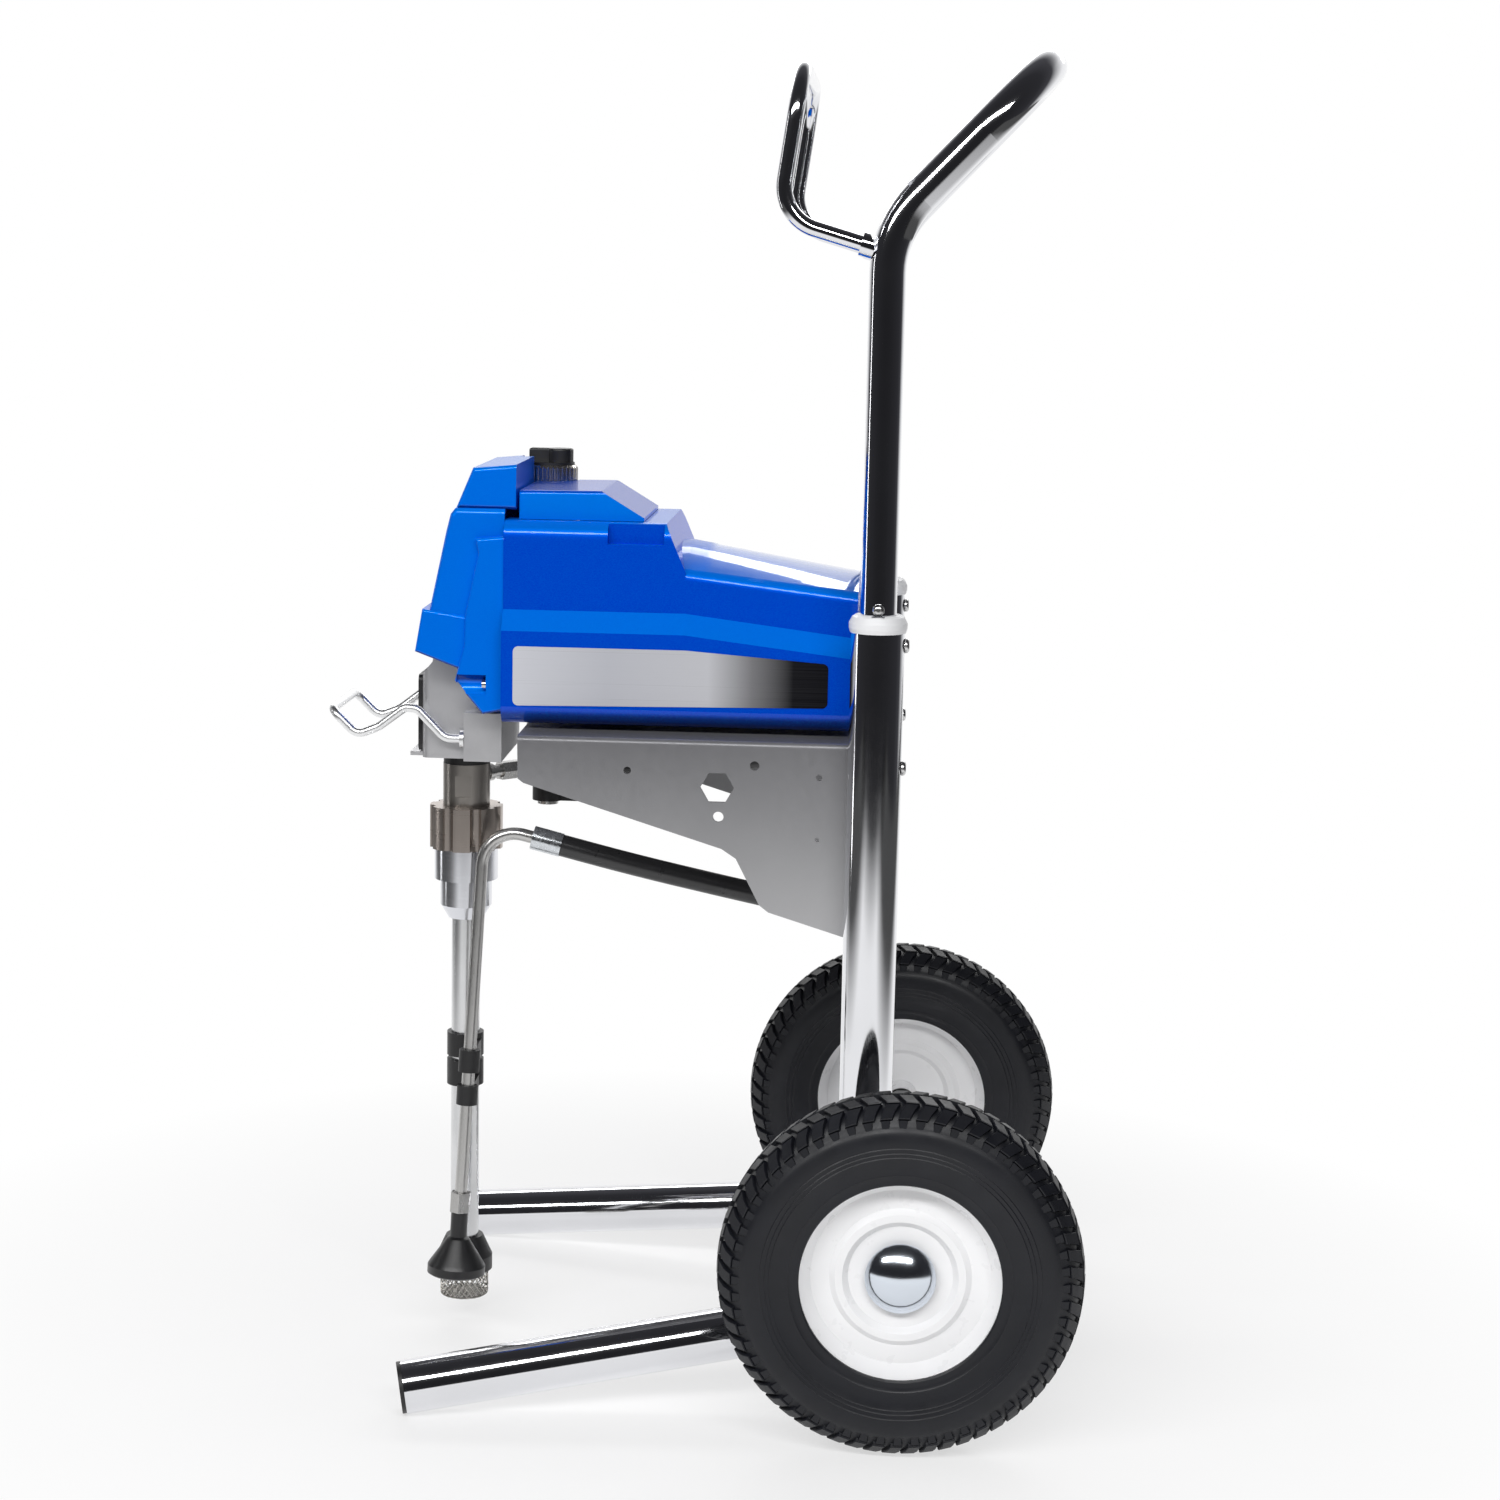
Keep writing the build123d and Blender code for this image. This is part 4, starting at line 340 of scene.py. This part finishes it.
SLOTS = {
    "tube_chrome": chrome("tube_chrome", (0.80, 0.805, 0.83)),
    "wire_chrome": chrome("wire_chrome", (0.86, 0.865, 0.87), 0.32, 0.38),
    "cap_chrome": chrome("cap_chrome", (0.72, 0.77, 0.84), 0.1, 0.15),
    "ring_chrome": drawn_metal("ring_chrome", (0.60, 0.57, 0.53), 0.18, 0.3, grain=900.0, depth=0.00001),
    "plain_steel": drawn_metal("plain_steel", (0.5, 0.5, 0.52), 0.25, 0.4),
    "screw_steel": zinc("screw_steel", (0.62, 0.62, 0.62)),
    "zinc_steel": zinc("zinc_steel", (0.68, 0.71, 0.74)),
    "drain_steel": drawn_metal("drain_steel", (0.56, 0.555, 0.545), 0.26, 0.32, grain=900.0, depth=0.00001),
    "pump_steel": drawn_metal("pump_steel", (0.40, 0.375, 0.35), 0.29, 0.33, ROUND, 700.0, 0.000004),
    "nut_steel": drawn_metal("nut_steel", (0.44, 0.39, 0.355), 0.27, 0.30, ROUND, 500.0, 0.000003),
    "intake_aluminium": drawn_metal("intake_aluminium", (0.76, 0.77, 0.81), 0.16, 0.19,
                                    ROUND, 900.0, 0.000003, 0.96),
    "tube_aluminium": drawn_metal("tube_aluminium", (0.72, 0.725, 0.735), 0.2, 0.26, depth=0.00001),
    "cast_aluminium": cast_metal("cast_aluminium", (0.62, 0.62, 0.635)),
    "bracket_plate": bracket_grey("bracket_plate"),
    "shield_blue": blue_paint("shield_blue", (0.0, 0.052, 0.62), (0.0, 0.150, 0.76),
                              (0.003, 0.016, 0.20), gloss=0.75),
    "cover_blue": blue_paint("cover_blue", (0.0, 0.160, 0.84), (0.0, 0.180, 0.82), (0.003, 0.024, 0.24)),
    "deck_blue": blue_paint("deck_blue", (0.0, 0.190, 0.86), (0.0, 0.060, 0.55), (0.003, 0.024, 0.24)),
    "label": label_film("label"),
    "black_plastic": moulded("black_plastic", (0.014, 0.014, 0.015), 0.38, 0.52),
    "gloss_black": moulded("gloss_black", (0.005, 0.005, 0.006), 0.14, 0.22, 0.00003),
    "white_plastic": moulded("white_plastic", (0.84, 0.845, 0.86), 0.34, 0.44, tint=0.97),
    "rim_white": rim_paint("rim_white"),
    "tyre": moulded("tyre", (0.0060, 0.0068, 0.0108), 0.40, 0.52, 0.00012, 900.0, specular=0.42),
    "rubber": moulded("rubber", (0.010, 0.010, 0.011), 0.3, 0.42, specular=0.55),
    "hose_rubber": moulded("hose_rubber", (0.032, 0.032, 0.034), 0.26, 0.36, 0.0001, 700.0, specular=0.6),
    "mesh_steel": drawn_metal("mesh_steel", (0.62, 0.60, 0.56), 0.16, 0.24, grain=300.0, tint=0.25),
}

for subpart in frame["record"]["subparts"]:
    worn = NODES[subpart["node"]].data.materials
    for index in range(len(worn)):
        worn[index] = SLOTS[subpart["material_slot"]]
    if not len(worn):
        worn.append(SLOTS[subpart["material_slot"]])


# ---- Mesh helpers

def new_piece(name, mesh, slot, body, replaced):
    """A smooth-shaded piece that takes the place of one CAD node."""
    mesh.materials.append(SLOTS[slot])
    for polygon in mesh.polygons:
        polygon.use_smooth = True
    piece = bpy.data.objects.new(name, mesh)
    SCENE.collection.objects.link(piece)
    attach(piece, body)
    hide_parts(replaced)


def grid_faces(rows, columns, closed_rows=False, closed_columns=True):
    """Quads over a grid of vertices stored row by row."""
    faces = []
    for i in range(rows if closed_rows else rows - 1):
        this_row, next_row = i * columns, (i + 1) % rows * columns
        for j in range(columns if closed_columns else columns - 1):
            next_j = (j + 1) % columns
            faces.append((this_row + j, this_row + next_j, next_row + next_j, next_row + j))
    return faces


# ---- Tyres: carcass with fine rings, and separate tread blocks on it. Lengths are metres.

TREAD = 60                      # tread blocks of each kind round one side
STEP = 2 * math.pi / TREAD      # radians from one block to the next
GROOVE = 0.0030                 # depth of the tread
SQUARENESS = 2.8                # 2 makes the section round, more makes it squarer
LEAN = 0.0054 / 0.127 / STEP    # 5.4 mm of slant at the wheel's radius, as a share of the step
COLUMNS = TREAD * 4             # of the carcass mesh
SHARP_DEGREES = 35

# Shoulder of the carcass, as degrees from the crown and depth under the outer section
SHOULDER = ((64, 0.0024), (68, 0.0014), (72, 0.0009), (76, 0.0006), (82, 0.0004), (87, 0.0003))
# Sidewall rings, as radius under the centre of the section
SIDE_RINGS = (0.0020, 0.0055, 0.0085)
# Bead, as radius over the rim's edge and distance inside the half width
BEAD = ((0.0095, 0.0016), (0.0050, 0.0027), (0.0036, 0.0026), (0.0028, 0.0032), (0.0, 0.0036),
        (-0.0030, 0.0037), (-0.0040, 0.0045), (-0.0040, 0.0068), (0.0003, 0.0068))

# Tread blocks of one side, as corners of (degrees from the crown, share of the step, depth)
CROWN_BLOCK = ((2.2, -0.36, 0.0), (2.2, 0.37, 0.0), (28.0, 0.35 + LEAN, 0.0), (28.0, -0.36 + LEAN, 0.0))
MIDDLE_BLOCK = ((30.6, -0.38 + LEAN, 0.0), (30.6, 0.34 + LEAN, 0.0), (43.0, 0.30 + LEAN * 0.45, 0.0),
                (54.0, 0.27 + LEAN * 0.05, 0.0), (54.0, -0.42 + LEAN * 0.05, 0.0),
                (43.0, -0.40 + LEAN * 0.45, 0.0))
SHOULDER_BLOCK = ((54.8, -0.36, 0.0009), (54.8, 0.16, 0.0009), (66.5, 0.10, 0.0022), (66.5, -0.32, 0.0022))
# Foot, edge and top of a block, as depth under the outer section and size of the outline
BLOCK_LAYERS = ((GROOVE + 0.0004, 1.03), (0.0005, 0.98), (0.0, 0.90))


def section(centre, half, degrees, depth=0.0):
    """(radius, y) on the tyre's rounded section; degrees are counted from the crown."""
    turn = math.radians(degrees)
    spread = (abs(math.cos(turn)) ** SQUARENESS + abs(math.sin(turn)) ** SQUARENESS) ** (1 / SQUARENESS)
    reach = half / spread - depth
    return centre + reach * math.cos(turn), reach * math.sin(turn)


def carcass_profile(centre, half, rim):
    """Outer skin on one side, from the crown to the bead, with fine rings on the sidewall."""
    points = [section(centre, half, degrees, GROOVE) for degrees in range(0, 61, 4)]
    points += [section(centre, half, degrees, depth) for degrees, depth in SHOULDER]
    side_y = half - 0.0003
    for under in SIDE_RINGS:
        ring_r = centre - under
        points += [(ring_r + 0.0008, side_y - 0.0002), (ring_r + 0.0002, side_y + 0.0002),
                   (ring_r - 0.0006, side_y - 0.0003)]
        side_y -= 0.0003
    points += [(rim + over, half - inside) for over, inside in BEAD]
    return points


def block_mesh(corners, centre, half, start):
    """(radius, y, share of the step) of one block's vertices, and its faces from vertex number start."""
    count = len(corners)
    mid_turn = sum(corner[0] for corner in corners) / count
    mid_share = sum(corner[1] for corner in corners) / count
    points = []
    for drop, size in BLOCK_LAYERS:
        for degrees, share, depth in corners:
            r, y = section(centre, half, mid_turn + (degrees - mid_turn) * size, depth + drop)
            points.append((r, y, mid_share + (share - mid_share) * size))
    faces = []
    for base in (start, start + count):
        for k in range(count):
            next_k = (k + 1) % count
            faces.append((base + k, base + next_k, base + count + next_k, base + count + k))
    faces.append(tuple(start + 2 * count + k for k in range(count)))
    return points, faces


def add_tyre(name):
    low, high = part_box(f"{name}_tyre")
    axle = (low + high) / 2
    wheel_r, half = (high.z - low.z) / 2, (high.y - low.y) / 2
    rim_low, rim_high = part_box(f"{name}_rim")
    centre = wheel_r - half

    def place(r, y, theta):
        return axle.x + r * math.sin(theta), axle.y + y, axle.z + r * math.cos(theta)

    profile = carcass_profile(centre, half, (rim_high.z - rim_low.z) / 2)
    ring = [(r, -y) for r, y in reversed(profile)] + profile[1:]
    verts = [place(r, y, 2 * math.pi * j / COLUMNS) for r, y in ring for j in range(COLUMNS)]
    faces = grid_faces(len(ring), COLUMNS, closed_rows=True)
    for y_sign, phase in ((-1, 0.0), (1, 0.5)):
        for index in range(TREAD):
            theta = (index + phase) * STEP
            for corners in (CROWN_BLOCK, MIDDLE_BLOCK, SHOULDER_BLOCK):
                points, block_faces = block_mesh(corners, centre, half, len(verts))
                verts += [place(r, y_sign * y, theta + share * STEP) for r, y, share in points]
                faces += block_faces
    mesh = bpy.data.meshes.new(f"{name}_treaded_tyre")
    mesh.from_pydata(verts, [], faces)
    mesh.validate()
    new_piece(f"{name}_treaded_tyre", mesh, "tyre", f"{name}_wheel", f"{name}_tyre")
    edit = bmesh.new()
    edit.from_mesh(mesh)
    bmesh.ops.recalc_face_normals(edit, faces=edit.faces[:])
    edit.to_mesh(mesh)
    edit.free()
    mesh.set_sharp_from_angle(angle=math.radians(SHARP_DEGREES))


add_tyre("left")
add_tyre("right")


# ---- Strainer basket of woven wire. Lengths are metres.

WIRE = 0.00042          # radius of a wire
SIDE_WIRES = 26         # of each hand
SIDE_STEPS = 24         # straight bits in one side wire
SIDE_TURN = 0.92        # radians that a side wire goes round on its way down
SIDE_WAVES = 10         # half waves of the weave in a side wire
DRAW_IN_FROM = 0.9      # share of the height below which the side draws in
DRAW_IN = 0.0010
FLOOR_GAP = 0.0024      # between two wires of the basket's bottom
FLOOR_INSET = 0.0014
FLOOR_SHORTEST = 0.002
FLOOR_STEPS = 16
RING_STEPS = 48


def side_wires(centre, radius, top, bottom):
    """Slanting wires of both hands that weave over each other round the side."""
    wires = []
    for hand in (-1, 1):
        for index in range(SIDE_WIRES):
            start = 2 * math.pi * index / SIDE_WIRES
            points = []
            for step in range(SIDE_STEPS + 1):
                share = step / SIDE_STEPS
                r = radius - WIRE
                if share > DRAW_IN_FROM:
                    r -= (share - DRAW_IN_FROM) / (1.0 - DRAW_IN_FROM) * DRAW_IN
                r += WIRE * 0.55 * hand * math.cos(math.pi * share * SIDE_WAVES)
                theta = start + hand * share * SIDE_TURN
                points.append((centre.x + r * math.cos(theta), centre.y + r * math.sin(theta),
                               top - (top - bottom) * share))
            wires.append(points)
    return wires


def floor_wires(centre, radius, bottom):
    """Two rows of wires that cross over the basket's bottom, at 45 degrees to the axes."""
    wires = []
    lines = int(radius // FLOOR_GAP)
    for row, y_sign in ((0, -1), (1, 1)):
        for k in range(-lines, lines + 1):
            offset = k * FLOOR_GAP
            reach = math.sqrt(max(0.0, (radius - FLOOR_INSET) ** 2 - offset ** 2))
            if reach < FLOOR_SHORTEST:
                continue
            points = []
            for step in range(FLOOR_STEPS + 1):
                along = -reach + 2 * reach * step / FLOOR_STEPS
                x, y = (along + offset) / math.sqrt(2), y_sign * (along - offset) / math.sqrt(2)
                weave = WIRE * 0.6 * math.cos(along / FLOOR_GAP * math.pi + (k + row) * math.pi)
                points.append((centre.x + x, centre.y + y, bottom + 0.0002 + weave))
            wires.append(points)
    return wires


def ring_wire(centre, r, z):
    turns = [2 * math.pi * k / RING_STEPS for k in range(RING_STEPS + 1)]
    return [(centre.x + r * math.cos(turn), centre.y + r * math.sin(turn), z) for turn in turns]


def add_strainer():
    low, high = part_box("strainer_mesh")
    centre = (low + high) / 2
    radius = (high.x - low.x) / 2 - 0.0003
    top, bottom = high.z - 0.0002, low.z + 0.0011
    wires = side_wires(centre, radius, top, bottom) + floor_wires(centre, radius, bottom)
    wires += [ring_wire(centre, radius - WIRE, z) for z in (bottom + 0.0008, top - 0.0006)]
    curve = bpy.data.curves.new("strainer_wire_line", "CURVE")
    curve.dimensions = "3D"
    curve.bevel_depth = WIRE
    curve.bevel_resolution = 1
    for points in wires:
        spline = curve.splines.new("POLY")
        spline.points.add(len(points) - 1)
        for point, place in zip(spline.points, points):
            point.co = (*place, 1.0)
    holder = bpy.data.objects.new("strainer_line", curve)
    mesh = bpy.data.meshes.new_from_object(holder)
    bpy.data.objects.remove(holder)
    mesh.materials.clear()
    new_piece("woven_strainer", mesh, "mesh_steel", "cart", "strainer_mesh")


add_strainer()


# ---- Room: floor, sky, lights

SHEET_CELL = 0.25
SHEET_LOW = (-2.5, -2.3)
SHEET_COUNT = (21, 23)


def make_floor():
    """White sheet, wider than the view, with painted light: it glows, all the more away from the object,
    which keeps the shadows pale; past the sides and the front of the view its glow fades to painted dark for
    reflections.
    """
    xs, ys = ([low + SHEET_CELL * k for k in range(count)] for low, count in zip(SHEET_LOW, SHEET_COUNT))
    mesh = bpy.data.meshes.new("floor")
    mesh.from_pydata([(x, y, 0.0) for y in ys for x in xs], [],
                     grid_faces(len(ys), len(xs), closed_columns=False))
    made, n, s = material("floor_white", (0.92, 0.92, 0.925), 0.45)
    vary_rough(n, s, n.noise(12.0), 0.42, 0.5)
    shader = next(node for node in made.node_tree.nodes if node.type == "BSDF_PRINCIPLED")
    output = next(node for node in made.node_tree.nodes if node.type == "OUTPUT_MATERIAL")
    x, y = n.axes()[:2]
    away = n.math("SQRT", n.math("ADD", n.math("MULTIPLY", x, x), n.math("MULTIPLY", y, y)))
    past_view = n.math("SUBTRACT", n.math("ABSOLUTE", x), n.math("MULTIPLY", n.math("MAXIMUM", y, 0.0), 0.3))
    # Painted dark past the sides and the front of the view, seen in shiny parts as dark reflections.
    painted_dark_sides = n.span(past_view, 0.85, 1.5, 1.0, 0.08)
    painted_dark_front = n.span(y, -2.3, -1.6, 0.1, 1.0)
    # Painted light: the glowing floor lightens the shadows under the object.
    painted_floor_glow = n.add("ShaderNodeEmission")
    painted_floor_glow.inputs["Color"].default_value = (*WHITE, 1.0)
    n.put(painted_floor_glow.inputs["Strength"], n.math("MULTIPLY", painted_dark_sides, painted_dark_front))
    mix = n.add("ShaderNodeMixShader")
    n.link(n.span(away, 0.28, 0.75, 0.62, 1.0), mix.inputs[0])
    n.link(shader.outputs[0], mix.inputs[1])
    n.link(painted_floor_glow.outputs[0], mix.inputs[2])
    n.link(mix.outputs[0], output.inputs[0])
    mesh.materials.append(made)
    floor = bpy.data.objects.new("floor", mesh)
    SCENE.collection.objects.link(floor)


def make_sky():
    """Studio sky: dark in front of the object, bright behind it, seen as white."""
    world = bpy.data.worlds.new("sky")
    world.use_nodes = True
    n = Nodes(world.node_tree)
    output = n.add("ShaderNodeOutputWorld")
    y, z = n.axes(n.add("ShaderNodeTexCoord").outputs["Generated"])[1:]
    behind = n.span(y, 0.38, 0.82, 0.0, 1.0)
    low_down = n.span(z, 0.45, 0.80, 1.0, 0.0)
    stops = [(0.0, (0.016, 0.016, 0.018)), (0.5, (0.03, 0.03, 0.034)), (1.0, (0.10, 0.10, 0.11))]
    dim = n.ramp(n.span(y, -1.0, 1.0, 0.0, 1.0), stops)
    room = n.add("ShaderNodeBackground")
    n.link(n.blend(n.math("MULTIPLY", behind, low_down), dim, WHITE), room.inputs["Color"])
    room.inputs["Strength"].default_value = 1.0
    seen = n.add("ShaderNodeBackground")
    seen.inputs["Color"].default_value = (*WHITE, 1.0)
    mix = n.add("ShaderNodeMixShader")
    n.link(n.add("ShaderNodeLightPath").outputs["Is Camera Ray"], mix.inputs[0])
    n.link(room.outputs[0], mix.inputs[1])
    n.link(seen.outputs[0], mix.inputs[2])
    n.link(mix.outputs[0], output.inputs[0])
    SCENE.world = world


def add_light(name, place, target, size, power):
    """Oblong light of (width, height) metres and so many watts, turned to the target."""
    data = bpy.data.lights.new(name, "AREA")
    data.shape = "RECTANGLE"
    data.size, data.size_y = size
    data.energy = power
    light = bpy.data.objects.new(name, data)
    SCENE.collection.objects.link(light)
    light.location = place
    light.rotation_mode = "QUATERNION"
    light.rotation_quaternion = (Vector(target) - Vector(place)).to_track_quat("-Z", "Y")
    light.visible_camera = False


make_floor()
make_sky()
add_light("front_key", (-0.4, -2.1, 2.0), (-0.2, 0.0, 0.3), (4.0, 0.45), 76)
add_light("rear_bar", (0.0, 1.7, 1.55), (0.0, 0.0, 0.6), (2.4, 0.35), 14)
add_light("left_strip", (-1.9, 0.15, 0.75), (0.0, 0.0, 0.75), (0.12, 1.5), 2.2)
